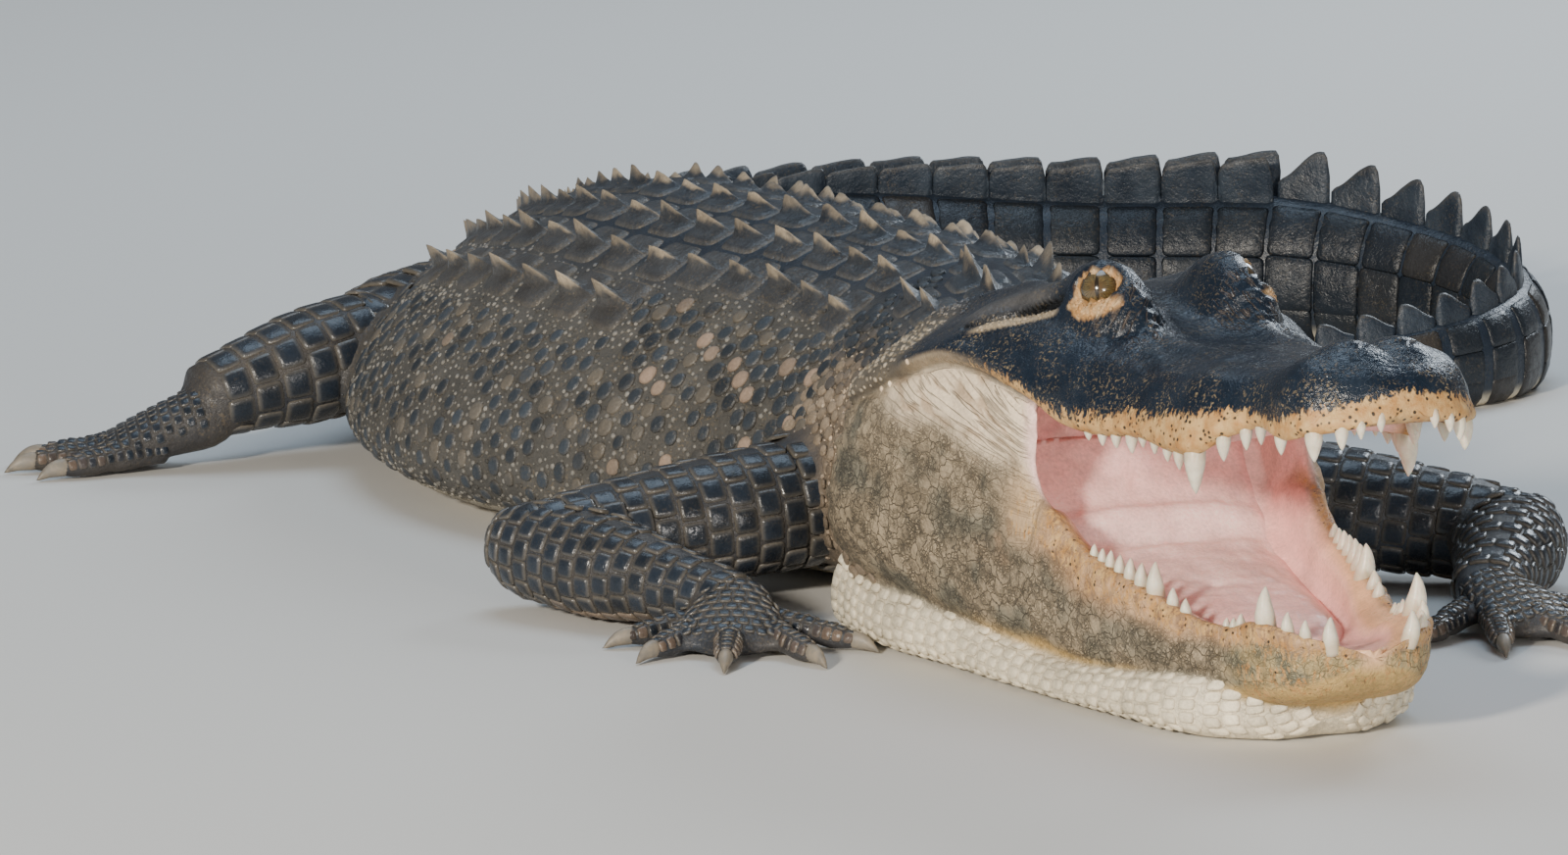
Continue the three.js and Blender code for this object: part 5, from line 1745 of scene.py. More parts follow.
@dataclass
class Crest:
    """One upright blade of the tail.

    Attributes:
        s: distance of its front behind the jaw joint.
        length: mm along the tail.
        side: distance from the spine.
        height: of the highest point above the skin.
        front: height of the front end as a fraction.
        lean: how far it leans outwards.
        seed: for its small differences.
        thick: thickness at the foot.
        root: how deep it goes into the skin.
        rings: rings along it.
        profile: (height, half thickness) from the root to the edge, as fractions.
    """

    s: float
    length: float
    side: float
    height: float
    front: float
    lean: float
    seed: int
    thick: float = 8.5
    root: float = 14.0
    rings: int = 20
    profile: tuple = ((-0.3, 0.5), (0.0, 0.5), (0.2, 0.46), (0.42, 0.4), (0.64, 0.32), (0.82, 0.24), (0.94, 0.15),
                      (1.0, 0.05))

    def build(self) -> Part:
        """The blade as a part of a mesh."""
        u = np.linspace(0, 1, self.rings)
        level, half = np.array(self.profile).T
        half = half * self.thick
        level, half = np.concatenate([level, level[-2::-1]]), np.concatenate([half, -half[-2::-1]])
        crown = lerp(self.front, 1.0, smoothstep(u, 0.0, 0.85))
        crown *= 1 - 0.45 * smoothstep(u, 0.9, 1.0) ** 2
        crown *= 1 - 0.3 * fade(u, 0.0, 0.08)
        ends = np.sqrt(np.clip(1 - np.abs(2 * u - 1) ** 10, 0.02, 1))
        s = self.s + u * self.length
        place, _, left = SPINE.frame(s)
        base = BODY.surface(s, BODY.turn_of_side(s, np.full_like(s, self.side)))[:, 2]
        rise = self.height * crown[:, None] * np.maximum(level, 0)[None] - self.root * np.maximum(-level, 0)[None] / 0.3
        swell = half[None] * ends[:, None]
        cells = np.stack([u[:, None] * 3 + self.seed + 0 * level, rise * 0.06, swell * 0.05], -1)
        groove = fractal(cells, 1.0, self.seed)
        side = self.side + np.sign(self.side) * self.lean * np.maximum(rise, 0) + swell * (1 + 0.22 * groove)
        points = place[:, None] + left[:, None] * side[..., None]
        points[..., 2] = base[:, None] + rise + 0.8 * groove * (level > 0.9)[None]
        tone = mix(flat_tone(BLUE_BLACK * 1.2, side.size), SLATE, (0.35 + 0.7 * groove).ravel())
        worn = smoothstep(np.broadcast_to(level, side.shape), 0.86, 1.0).ravel() * 0.35
        return rings_part(points, mix(tone, GREY_TAN * 0.8, worn), (0.68, 0.8, 0.1, 0.25))


@dataclass
class Tail:
    """Rings of plates round the tail, and the crests on top of them.

    Attributes:
        start: distance of the first ring behind the jaw joint.
        doubled: number of rings with two crests.
        single: number of rings with one.
        first: length of a ring with two crests.
        next: length of the first ring with one.
        shrink: each further ring is so much shorter.
    """

    start: float = 1085.4
    doubled: int = 15
    single: int = 21
    first: float = 46.4
    next: float = 45.5
    shrink: float = 0.975

    def __post_init__(self) -> None:
        """Lays out the rings and the places and heights of the crests."""
        lengths = [self.first] * self.doubled + [self.next * self.shrink**k for k in range(self.single)]
        self.whorls = []
        s = self.start
        for length in lengths:
            self.whorls.append((s, length))
            s += length
        self.side = monotone(((1086, 22), (1782, 9)))
        self.double_height = monotone(((0, 9), (5, 16), (9, 27), (14, 36)))
        self.single_height = monotone(((0, 40), (2, 35), (6, 31), (12, 20), (20, 9)))

    def build(self, material: Material) -> Object:
        """All crests as one mesh."""
        parts = []
        for k, (s, length) in enumerate(self.whorls):
            if k < self.doubled:
                height, front = float(self.double_height(k)), float(lerp(0.4, 0.82, smoothstep(k, 3, 9)))
                for hand in HANDS:
                    side = float(self.side(s + length / 2)) * hand
                    parts.append(Crest(s + 0.5, length * 0.99, side, height, front, 0.3, k * 4 + (hand > 0)).build())
            else:
                height = float(self.single_height(k - self.doubled))
                parts.append(Crest(s + 0.5, length * 0.97, 0.0, height, 0.34, 0.0, k * 4).build())
        return triangle_object("tail_crests", parts, material)


TAIL = Tail()


@dataclass
class Coat:
    """Scales of the flanks, belly, tail, neck, legs, feet and throat.

    Attributes:
        skin: the finished skin they sit on.
        middle: turn at which the belly begins.
    """

    skin: Object
    middle: float = 0.66

    def __post_init__(self) -> None:
        """Reads the skin, and lays a grid over trunk, neck and tail."""
        self.tree = BVHTree.FromObject(self.skin, bpy.context.evaluated_depsgraph_get())
        s = np.arange(-56, 2516, 6.0)
        grid = np.meshgrid(s, np.linspace(-1, 1, 120, endpoint=False), indexing="ij")
        self.body = Grid(BODY.skin(*grid), s, (0.02, 0.52, 0.96, 0.46))

    def _turn(self, j: Array) -> Array:
        """How far down a side of the body's grid is, from 0 to 1."""
        return np.abs(j / self.body.sides * 2 - 1)

    def _both_sides(self, s: float, high: float, low: float, pitch: float, shift: float = 0.0) -> Iterator[tuple]:
        """Even places on both sides of the body.

        Args:
            s: distance behind the jaw joint.
            high: turn where they begin.
            low: turn where they end.
            pitch: wished distance in mm.
            shift: fraction of a place to move them by.

        Yields:
            Ring, side and exact pitch of each.
        """
        i = self.body.ring_of(s)
        for hand in HANDS:
            ends = sorted((hand * turn + 1) / 2 * self.body.sides for turn in (high, low))
            for j, gap in self.body.row(i, ends, pitch, shift):
                yield i, j, gap

    def _grown(self, rows: list[tuple], grid: Grid, painter: Callable, square: float, sides: int, tilt: float,
               slack: float) -> Part:
        """Scales of one kind.

        Args:
            rows: ring, side, half length, half width and rise of each.
            grid: surface that carries them.
            painter: gives their colours, the colours of their rims and their looks.
            square: 2 is an oval, 6 nearly a rectangle.
            sides: points round the rim.
            tilt: how much the rear stands higher.
            slack: how far a root may lie from the finished skin.

        Returns:
            All of them as one part of a mesh.
        """
        i, j, long, wide, rise = np.array(rows, float).T
        painted = painter(i, j, grid.place(i, j))
        return Scales(grid, i, j, long, wide, rise, *painted, square, sides, tilt, slack).build(self.tree)

    def flank(self) -> list[Part]:
        """Upright columns of oval discs between back and belly."""
        rng = np.random.default_rng(SEED)
        discs, pitch = [], ROW_PITCH / 3
        for number in range(-3, 55):
            s = TRUNK_FRONT + (number + 0.5) * pitch
            start = abs(float(BODY.turn_of_side(np.array(s), np.array(BACK.reach(s))))) + 0.008
            for i, j, gap in self._both_sides(s, start, self.middle, 17.5, 0.5 * (number % 2)):
                big = lerp(1.08, 0.86, smoothstep(self._turn(j), start, 0.62)) * rng.uniform(0.84, 1.08)
                if rng.random() < 0.87:
                    i_at, j_at = i + rng.normal(0, 0.09), j + rng.normal(0, 0.04)
                    discs.append((i_at, j_at, 6.4 * big, gap * 0.42 * big, 2.1 * big))
        return [self._grown(discs, self.body, self._flank_paint, 2.2, 12, 0.3, 4.5)]

    def _flank_paint(self, i: Array, j: Array, p: Array) -> tuple[Array, Array, Array]:
        """Dark blue discs, some paler or pinkish.

        Args:
            i: ring of each.
            j: side of each.
            p: place of each.

        Returns:
            Their colours, the colours of their rims and their looks.
        """
        rng = np.random.default_rng(SEED + 1)
        chance = rng.random(len(i)) + 0.25 * fractal(p, 120, 91)
        tone = flat_tone(SLATE * 0.62, len(i)) * rng.uniform(0.7, 1.5, (len(i), 1))
        tone = mix(tone, GREY_TAN * 0.9, smoothstep(chance, 0.72, 0.82) * 0.7)
        pink = smoothstep(chance, 0.97, 1.02)
        tone = mix(tone, (0.32, 0.23, 0.17), pink)
        look = flat_tone((0, 0.6, 0.1, 0.25), len(i))
        look[:, 0] = 0.62 - 0.3 * pink
        return tone, mix(flat_tone(GREY_TAN * 0.7, len(i)), tone, np.full(len(i), 0.3)), look

    def belly(self) -> list[Part]:
        """Rectangular scales low on the flank and under the tail root."""
        pitch = ROW_PITCH / 2
        rows = [(i, j, pitch * 0.47, gap * 0.47, 1.7) for number in range(-10, 37)
                for i, j, gap in self._both_sides(TRUNK_FRONT + (number + 0.5) * pitch, self.middle, 0.9, 22)]
        return [self._grown(rows, self.body, self._belly_paint, 5, 14, 0.3, 5)]

    def _belly_paint(self, i: Array, j: Array, p: Array) -> tuple[Array, Array, Array]:
        """Cream, greyer upwards.

        Args:
            i: ring of each.
            j: side of each.
            p: place of each.

        Returns:
            Their colours, the colours of their rims and their looks.
        """
        rng = np.random.default_rng(SEED + 3)
        grey = fade(self._turn(j) + rng.normal(0, 0.02, len(i)), 0.67, 0.76)
        tone = mix(flat_tone(CREAM * 0.85, len(i)), SLATE * 1.3, grey * 0.85) * rng.uniform(0.85, 1.1, (len(i), 1))
        return tone, tone * 0.55, flat_tone((0.35, 0.5, 0.3, 0.15), len(i))

    def tail(self) -> list[Part]:
        """Rings of rectangular plates round the tail."""
        rows = []
        for k, (s, length) in enumerate(TAIL.whorls):
            inner = 0.1
            if k < TAIL.doubled:
                inner = min(abs(float(BODY.turn_of_side(np.array(s), TAIL.side(s) + 7.0))), 0.45)
            done = k / len(TAIL.whorls)
            rows += [(i, j, length * 0.455, gap * 0.515, lerp(2.6, 1.1, done))
                     for i, j, gap in self._both_sides(s + length / 2, inner, 0.93, lerp(58, 14, done))]
        return [self._grown(rows, self.body, self._tail_paint, 9, 22, 0.3, 6)]

    def _tail_paint(self, i: Array, j: Array, p: Array) -> tuple[Array, Array, Array]:
        """Blue-black with some brown, cream below.

        Args:
            i: ring of each.
            j: side of each.
            p: place of each.

        Returns:
            Their colours, the colours of their rims and their looks.
        """
        rng = np.random.default_rng(SEED + 4)
        tone = mix(flat_tone(BLUE_BLACK * 0.8, len(i)), SLATE * 0.35, rng.random(len(i)))
        tone = mix(tone, (0.06, 0.048, 0.035), smoothstep(fractal(p, 70, 92), 0.1, 0.5) * 0.6)
        tone = mix(tone, CREAM * 0.6, smoothstep(self._turn(j), 0.74, 0.84))
        return tone, tone * 0.45, flat_tone((0.75, 0.6, 0.1, 0.2), len(i))

    def neck(self) -> list[Part]:
        """Ovals and bumps of the neck, round its shields."""
        rng = np.random.default_rng(SEED + 5)
        rows = []
        for number in range(20):
            s = -40 + number * 13.5
            for i, j, gap in self._both_sides(s, 0.03, 0.62, 13, 0.5 * (number % 2)):
                side = abs(float(np.sin(self._turn(j) * math.pi))) * float(BODY.half(s))
                if any(abs(s - at) < length * 0.55 and abs(side - out) < width * 0.6
                       for at, out, length, width, _ in NUCHAL_SHIELDS):
                    continue
                r = rng.uniform(4.2, 6.6)
                rows.append((i + rng.normal(0, 0.25), j + rng.normal(0, 0.1), r * 1.05, r * 0.9, r * 0.33))
        return [self._grown(rows, self.body, self._neck_paint, 2.3, 10, 0.25, 5)]

    def _neck_paint(self, i: Array, j: Array, p: Array) -> tuple[Array, Array, Array]:
        """Dark above, brown at the sides.

        Args:
            i: ring of each.
            j: side of each.
            p: place of each.

        Returns:
            Their colours, the colours of their rims and their looks.
        """
        rng = np.random.default_rng(SEED + 6)
        low = smoothstep(self._turn(j) + rng.normal(0, 0.03, len(i)), 0.24, 0.38)
        tone = mix(flat_tone(SLATE * 0.6, len(i)), NECK_BROWN * 1.25, low * 0.85) * rng.uniform(0.75, 1.25, (len(i), 1))
        return tone, tone * 0.7, flat_tone((0.5, 0.6, 0.3, 0.25), len(i))

    def legs(self, all_limbs: list[Limb]) -> list[Part]:
        """Rows of rectangular scales round the legs.

        Args:
            all_limbs: stretches of the legs.

        Returns:
            One part for each.
        """
        pitches = {"thigh": (25, 26), "shank": (22, 23), "upper_arm": (18, 19), "forearm": (14, 15)}
        parts = []
        for number, limb in enumerate(all_limbs):
            kind = limb.name.rsplit("_", 1)[0]
            along, around = pitches[kind]
            t, rings = limb.rings(60, 48)
            grid = Grid(rings, t, (0.02 + 0.12 * number, 0.27, 0.11, 0.2))
            marks = np.arange(t[0] + 0.03, t[-1] - 0.03, along / limb.length)
            rows = [(i, j, along * 0.497, gap * 0.492, 1.9) for k, i in enumerate(map(grid.ring_of, marks))
                    for j, gap in grid.row(i, (0, 48), around, 0.5 * (k % 2) if "arm" in kind else 0)]
            parts.append(self._grown(rows, grid, self._leg_paint, 6, 16, 0.35, 4.2))
        return parts

    def _leg_paint(self, i: Array, j: Array, p: Array) -> tuple[Array, Array, Array]:
        """Blue-black, browner low down.

        Args:
            i: ring of each.
            j: side of each.
            p: place of each.

        Returns:
            Their colours, the colours of their rims and their looks.
        """
        rng = np.random.default_rng(SEED + 7)
        tone = flat_tone(BLUE_BLACK * 0.9, len(i)) * rng.uniform(0.8, 1.5, (len(i), 1))
        tone = mix(tone, (0.20, 0.14, 0.10), fade(p[:, 2] + rng.normal(0, 2, len(i)), 5, 15) * 0.8)
        return tone, mix(tone, LEG_LINE, np.full(len(i), 0.5)), flat_tone((0.95, 0.3, 0.05, 0.1), len(i))

    def paws(self, all_paws: list[Paw]) -> list[Part]:
        """Small scales on the palms and bands on the digits.

        Args:
            all_paws: hands and feet.

        Returns:
            One part for each palm or digit.
        """
        parts = []
        for number, limb in enumerate(limb for paw in all_paws for limb in [paw.palm_limb()] + paw.digits()):
            t, rings = limb.rings(40, 32)
            grid = Grid(rings, t, (0.02 + 0.045 * (number % 21), 0.14 + 0.06 * (number // 21), 0.04, 0.05))
            along, stagger = (7.5, 0.0) if "digit" in limb.name else (8.5, 0.5)
            marks = np.arange(0.0, t[-1] - 0.03, along / limb.length)
            rows = [(i, j, along * 0.47, gap * 0.47, 1.1) for k, i in enumerate(map(grid.ring_of, marks))
                    for j, gap in grid.row(i, (-9, 9), 9.0, stagger * (k % 2))]
            parts.append(self._grown(rows, grid, self._leg_paint, 4, 10, 0.4, 2.6))
        return parts

    def throat(self, rings: Array) -> list[Part]:
        """Cream rectangular scales of the throat.

        Args:
            rings: of the throat.

        Returns:
            All of them as one part.
        """
        grid = Grid(rings, np.arange(len(rings), dtype=float), (0.02, 0.02, 0.96, 0.1))
        rng = np.random.default_rng(SEED + 8)
        rows = []
        i = 1.0
        while i < len(rings) - 1.2:
            for start, end in ((0.06, 0.40), (0.60, 0.94)):
                places = grid.row(i, (start * grid.sides, end * grid.sides), 8.5, rng.uniform(-0.3, 0.3))
                rows += [(i, j, 6.2 * rng.uniform(0.9, 1.05), gap * 0.46, 1.5) for j, gap in places]
            i += 13.0 / float(grid.steps(np.array(i), np.array(8.0))[0])
        return [self._grown(rows, grid, self._throat_paint, 4, 12, 0.45, 4.5)]

    def _throat_paint(self, i: Array, j: Array, p: Array) -> tuple[Array, Array, Array]:
        """Cream white.

        Args:
            i: ring of each.
            j: side of each.
            p: place of each.

        Returns:
            Their colours, the colours of their rims and their looks.
        """
        rng = np.random.default_rng(SEED + 9)
        tone = flat_tone(THROAT_CREAM * 1.15, len(i)) * rng.uniform(0.85, 1.08, (len(i), 1))
        return tone, tone * 0.7, flat_tone((0.3, 0.4, 0.15, 0.08), len(i))


@dataclass
class Wires:
    """Short ways to wire the nodes of a tree.

    Attributes:
        tree: the node tree.
    """

    tree: bpy.types.NodeTree

    def feed(self, node: bpy.types.Node, key: str | int, value: object) -> None:
        """Sets one input of a node, or links a socket to it."""
        if isinstance(value, Socket):
            self.tree.links.new(value, node.inputs[key])
        else:
            node.inputs[key].default_value = value

    def node(self, kind: str, settings: dict | None = None, **inputs: object) -> bpy.types.Node:
        """A new node.

        Args:
            kind: its type.
            settings: properties to set.
            inputs: values or sockets by the input's name, or by i and its number.

        Returns:
            The node.
        """
        made = self.tree.nodes.new(kind)
        for key, value in (settings or {}).items():
            setattr(made, key, value)
        for key, value in inputs.items():
            self.feed(made, int(key[1:]) if key[1:].isdigit() else key.replace("_", " "), value)
        return made

    def maths(self, operation: str, a: float | Socket, b: float | Socket = 0.0) -> Socket:
        """Sum, product and so on of two values."""
        return Wires.node(self, "ShaderNodeMath", {"operation": operation}, i0=a, i1=b).outputs[0]


class Cover(Enum):
    """Where granules grow: the part of the skin's look that says how densely."""

    FLANK = "grit"
    LIDS = "bead"


@dataclass
class Granules:
    """Small round scales strewn over a part of the skin by a node tree.

    Attributes:
        name: name of the piece.
        cover: the part of the skin.
        pitch: least distance of two granules in mm.
        smallest: least radius in mm.
        largest: greatest radius in mm.
        flat: height as a fraction of the radius.
        brightest: how much paler than the skin they may be.
        roundness: steps of the ball they are made from.
        seed: for their places and sizes.
        patch: size of a granule on the unwrap.
    """

    name: str
    cover: Cover
    pitch: float
    smallest: float
    largest: float
    flat: float = 0.6
    brightest: float = 1.8
    roundness: int = 1
    seed: int = SEED
    patch: float = 0.0015

    def sizes(self) -> dict[str, tuple[str, object]]:
        """Named inputs of the tree: kind of socket and value."""
        return {
            "Cover": ("String", self.cover.value), "Pitch": ("Float", self.pitch * MM),
            "Smallest": ("Float", self.smallest * MM), "Largest": ("Float", self.largest * MM),
            "Flat": ("Float", self.flat), "Brightest": ("Float", self.brightest),
            "Roundness": ("Int", self.roundness), "Seed": ("Int", self.seed),
        }

    def tree(self, material: Material) -> bpy.types.NodeTree:
        """Makes the node tree: places on the skin, a ball at each, made real and dressed.

        Args:
            material: their finish.

        Returns:
            The tree.
        """
        tree = bpy.data.node_groups.new(self.name, "GeometryNodeTree")
        tree.interface.new_socket("Geometry", in_out="INPUT", socket_type="NodeSocketGeometry")
        for label, (kind, _) in self.sizes().items():
            tree.interface.new_socket(label, in_out="INPUT", socket_type="NodeSocket" + kind)
        tree.interface.new_socket("Geometry", in_out="OUTPUT", socket_type="NodeSocketGeometry")
        given, wires = tree.nodes.new("NodeGroupInput").outputs, Wires(tree)
        node, maths = wires.node, wires.maths

        def stored(name: str | Socket, kind: str = "FLOAT") -> Socket:
            """Something stored on the mesh."""
            return node("GeometryNodeInputNamedAttribute", {"data_type": kind}, Name=name).outputs[0]

        def chance(low: float | Socket, high: Socket, seed: Socket) -> Socket:
            """Even random number for each granule."""
            return node("FunctionNodeRandomValue", {"data_type": "FLOAT"}, i2=low, i3=high, Seed=seed).outputs[1]

        dense = maths("DIVIDE", 3.0, maths("MULTIPLY", given["Pitch"], given["Pitch"]))
        strewn = node("GeometryNodeDistributePointsOnFaces", {"distribute_method": "POISSON"}, Mesh=given["Geometry"],
                      Distance_Min=given["Pitch"], Density_Max=dense, Density_Factor=stored(given["Cover"]),
                      Seed=given["Seed"])
        shade = node("ShaderNodeVectorMath", {"operation": "SCALE"}, i0=stored("tone", "FLOAT_VECTOR"),
                     Scale=chance(0.8, given["Brightest"], given["Seed"]))
        toned = node("GeometryNodeStoreNamedAttribute", {"data_type": "FLOAT_COLOR", "domain": "POINT"},
                     Geometry=strewn.outputs["Points"], Name="tone", Value=shade.outputs[0])
        wide = chance(given["Smallest"], given["Largest"], maths("ADD", given["Seed"], 1.0))
        size = node("ShaderNodeCombineXYZ", X=wide, Y=wide, Z=maths("MULTIPLY", wide, given["Flat"]))
        ball = node("GeometryNodeMeshIcoSphere", Radius=1.0, Subdivisions=given["Roundness"])
        many = node("GeometryNodeInstanceOnPoints", Points=toned.outputs[0], Instance=ball.outputs["Mesh"],
                    Rotation=strewn.outputs["Rotation"], Scale=size.outputs[0])
        real = node("GeometryNodeRealizeInstances", Geometry=many.outputs[0])
        root = node("ShaderNodeCombineXYZ", X=stored("root_u"), Y=stored("root_v"))
        spread = node("ShaderNodeVectorMath", {"operation": "SCALE"}, i0=node("GeometryNodeInputNormal").outputs[0],
                      Scale=self.patch)
        place = node("ShaderNodeVectorMath", {"operation": "ADD"}, i0=root.outputs[0], i1=spread.outputs[0])
        mapped = node("GeometryNodeStoreNamedAttribute", {"data_type": "FLOAT2", "domain": "CORNER"},
                      Geometry=real.outputs[0], Name="OFBake", Value=place.outputs[0])
        smooth = node("GeometryNodeSetShadeSmooth", Geometry=mapped.outputs[0])
        painted = node("GeometryNodeSetMaterial", Geometry=smooth.outputs[0], Material=material)
        tree.links.new(painted.outputs[0], tree.nodes.new("NodeGroupOutput").inputs[0])
        return tree

    def build(self, skin: Object, material: Material) -> Object:
        """Makes the granules.

        Args:
            skin: the finished skin.
            material: their finish.

        Returns:
            All of them as one plain mesh.
        """
        carrier = bpy.data.objects.new(self.name + " carrier", skin.data)
        bpy.context.scene.collection.objects.link(carrier)
        step = carrier.modifiers.new(self.name, "NODES")
        step.node_group = self.tree(material)
        sizes = self.sizes()
        for item in step.node_group.interface.items_tree:
            if item.in_out == "INPUT" and item.name in sizes:
                step[item.identifier] = sizes[item.name][1]
        mesh = bpy.data.meshes.new_from_object(carrier.evaluated_get(bpy.context.evaluated_depsgraph_get()))
        bpy.data.objects.remove(carrier)
        made = bpy.data.objects.new(self.name, mesh)
        bpy.context.scene.collection.objects.link(made)
        return made


@dataclass
class Horn:
    """A curved cone: a tooth or a claw.

    Attributes:
        bend: direction it curves to, with its size as a fraction of the length.
        radii: (fraction of the length, fraction of the radius) along it.
        flat: width along the bend divided by the other width.
        rings: number of rings.
        sides: points of a ring.
    """

    bend: tuple[float, float, float]
    radii: tuple
    flat: float
    rings: int
    sides: int = 14

    def places(self, base: Array, aim: Array, length: float, radius: float) -> Array:
        """Makes the rings.

        Args:
            base: place where it starts.
            aim: first direction.
            length: mm.
            radius: mm.

        Returns:
            (rings, sides, 3) places.
        """
        bend = np.array(self.bend)
        t = np.linspace(self.radii[0][0], 1.0, self.rings)
        t = np.where(t > 0, np.abs(t) ** 0.85, t)
        axis = base + aim * (t * length)[:, None] + bend * (np.sign(t) * t**2 * length)[:, None]
        tangent = unit(np.gradient(axis, axis=0))
        over = unit(bend - tangent * np.sum(tangent * bend, -1, keepdims=True))
        angle = np.arange(self.sides) / self.sides * 2 * math.pi
        r = monotone([(at, size * radius) for at, size in self.radii])(t)[:, None]
        return (axis[:, None] + over[:, None] * (np.cos(angle) * r * self.flat)[..., None]
                + np.cross(tangent, over)[:, None] * (np.sin(angle) * r)[..., None])


@dataclass
class Teeth:
    """The teeth that the open mouth shows.

    Attributes:
        root: how much of a tooth is in the gum, in mm.
        radii: (fraction of the length, fraction of the radius) along a tooth.
        stain: colour at the gum.
    """

    root: float = 2.5
    radii: tuple = ((-0.3, 0.85), (0.0, 1), (0.25, 0.97), (0.55, 0.74), (0.8, 0.44), (0.94, 0.2), (1.0, 0.06))
    stain: tuple = (0.55, 0.42, 0.26)

    def _row(self, teeth: tuple, axes: Axes, line: Callable, up: int, splay: float, seed: int) -> Iterator[Part]:
        """The teeth of one jaw.

        Args:
            teeth: place, length and radius of each.
            axes: of the jaw.
            line: gives the side and the height of the gum at a tooth.
            up: 1 for the lower jaw, -1 for the upper.
            splay: how far they lean outwards.
            seed: for their shades.

        Yields:
            One part for each tooth.
        """
        for number, (x, length, radius) in enumerate(teeth):
            side, height = line(x, radius)
            for hand in HANDS:
                out = hand * splay
                horn = Horn((-0.10, -out * 0.22, 0.0), self.radii, 1.08, 13)
                own = np.array([x, side * hand, height - up * self.root])
                rings = horn.places(own, unit(np.array([0.04, out * 0.28, up])), length + self.root, radius)
                shade = 0.94 + 0.1 * hashed([number * 2 + seed, 1, 1], 3)
                low = np.broadcast_to(fade(np.linspace(-0.3, 1, horn.rings), 0.0, 0.35)[:, None], rings.shape[:2])
                tone = mix(flat_tone(IVORY * shade, low.size), self.stain, low.ravel() * 0.55)
                yield rings_part(axes.moved(rings), tone, (0.8, 0.2, 0, 0))

    def build(self, material: Material) -> Object:
        """All teeth as one mesh."""
        def lip(x: float, radius: float) -> tuple[float, float]:
            """Side and height of the upper gum."""
            return float(HEAD.half(x)) * 0.93 - radius * 0.45, float(HEAD.lip(x))

        def edge(x: float, radius: float) -> tuple[float, float]:
            """Side and height of the lower gum."""
            return float(JAW.half(x)) * 0.9 - radius * 0.6, float(JAW.edge(x))

        upper = self._row(UPPER_TEETH, HEAD_AXES, lip, -1, 0.5, 0)
        lower = self._row(LOWER_TEETH, JAW_AXES, edge, 1, 1, 91)
        return triangle_object("teeth", [*upper, *lower], material)


@dataclass
class Claws:
    """Claws of the hands and feet.

    Attributes:
        horn: their form.
        length: as a multiple of the digit's radius.
    """

    horn: Horn = field(default_factory=lambda: Horn(
        (0, 0, -0.42), ((-0.15, 0.5), (0.0, 0.58), (0.3, 0.52), (0.6, 0.36), (0.85, 0.17), (1, 0.03)), 1.25, 12))
    length: float = 2.3

    def build(self, all_paws: list[Paw], material: Material) -> Object:
        """Makes all claws.

        Args:
            all_paws: hands and feet.
            material: their finish.

        Returns:
            One mesh.
        """
        parts = []
        for paw in all_paws:
            for digit in paw.digits():
                base = digit.end - digit.along * 3 + np.array([0, 0, 0.8])
                aim = unit(digit.along + np.array([0, 0, 0.12]))
                rings = self.horn.places(base, aim, paw.radius * self.length, paw.radius)
                rings[..., 2] = np.maximum(rings[..., 2], 0.3)
                t = np.broadcast_to(np.linspace(0, 1, self.horn.rings)[:, None], rings.shape[:2]).ravel()
                tone = mix(flat_tone(HORN_TAN, t.size), HORN_TAN * 0.35, smoothstep(t, 0.4, 1.0) * 0.7)
                parts.append(rings_part(rings, tone, (0.6, 0.5, 0, 0.2)))
        return triangle_object("claws", parts, material)


@dataclass
class MouthFloor:
    """Pink floor of the mouth: the broad tongue, held down to its edges, and the fold behind it.

    Attributes:
        top_points: points across the upper side.
        under_points: points across the underside.
        deep: how far below the upper side the underside is.
    """

    top_points: int = 61
    under_points: int = 12
    deep: float = 5.0

    def build(self, material: Material) -> Object:
        """All of it as one mesh."""
        x = np.concatenate([np.arange(114, 400, 2.4), [403, 406, 409, 411.5, 413.5, 415]])
        half = (JAW.inner(x) - 3.5) * (1 - smoothstep(x, 345, 420) * 0.62) * np.sqrt(np.clip((417 - x) / 36, 0.02, 1))
        crown = lerp(6, 15, smoothstep(x, 150, 260)) * (1 - smoothstep(x, 330, 415) * 0.72)
        fold = 7 * hump(x, 168, 9) - 4 * hump(x, 186, 7)
        across = np.concatenate([np.linspace(-1, 1, self.top_points), np.linspace(0.96, -0.96, self.under_points)])
        upper = (np.arange(len(across)) < self.top_points)[None]
        p = np.zeros((len(x), len(across), 3))
        p[..., 0] = x[:, None]
        p[..., 1] = half[:, None] * power_of(across, 0.9)[None]
        arch = (1 - np.abs(across) ** 3.2)[None] * crown[:, None] + fold[:, None] * (1 - across**2)[None]
        p[..., 2] = JAW.floor(x)[:, None] + np.where(upper, 2.0 + arch, -self.deep)
        wrinkle = 1.0 * fractal(p * np.array([0.35, 1, 1]), 7, 101) + 1.1 * fractal(p * np.array([1, 0.3, 1]), 8, 102)
        pit = -3.5 * hump(x, 268, 5)[:, None] * hump(p[..., 1], -6, 5)
        p[..., 2] += np.where(upper, (wrinkle + pit) * (1 - np.abs(across) ** 6)[None], 0)
        patch = fractal(p, 40, 103)
        tone = mix(flat_tone(PINK, patch.size), (0.92, 0.64, 0.60), (0.5 + 0.7 * patch).ravel())
        pale = np.broadcast_to((smoothstep(x, 120, 200) * fade(x, 230, 330))[:, None], patch.shape)
        tone = mix(tone, (0.95, 0.76, 0.71), pale.ravel() * 0.6)
        # painted shade: darker red along the edges, where the tongue meets the jaw
        rim = np.broadcast_to(smoothstep(np.abs(across), 0.8, 1.0)[None], patch.shape)
        tone = mix(tone, (0.66, 0.24, 0.24), rim.ravel() * 0.6)
        return triangle_object("mouth_floor", [rings_part(JAW_AXES.moved(p), tone, (0.62, 0.35, 0.0, 0.0))], material)


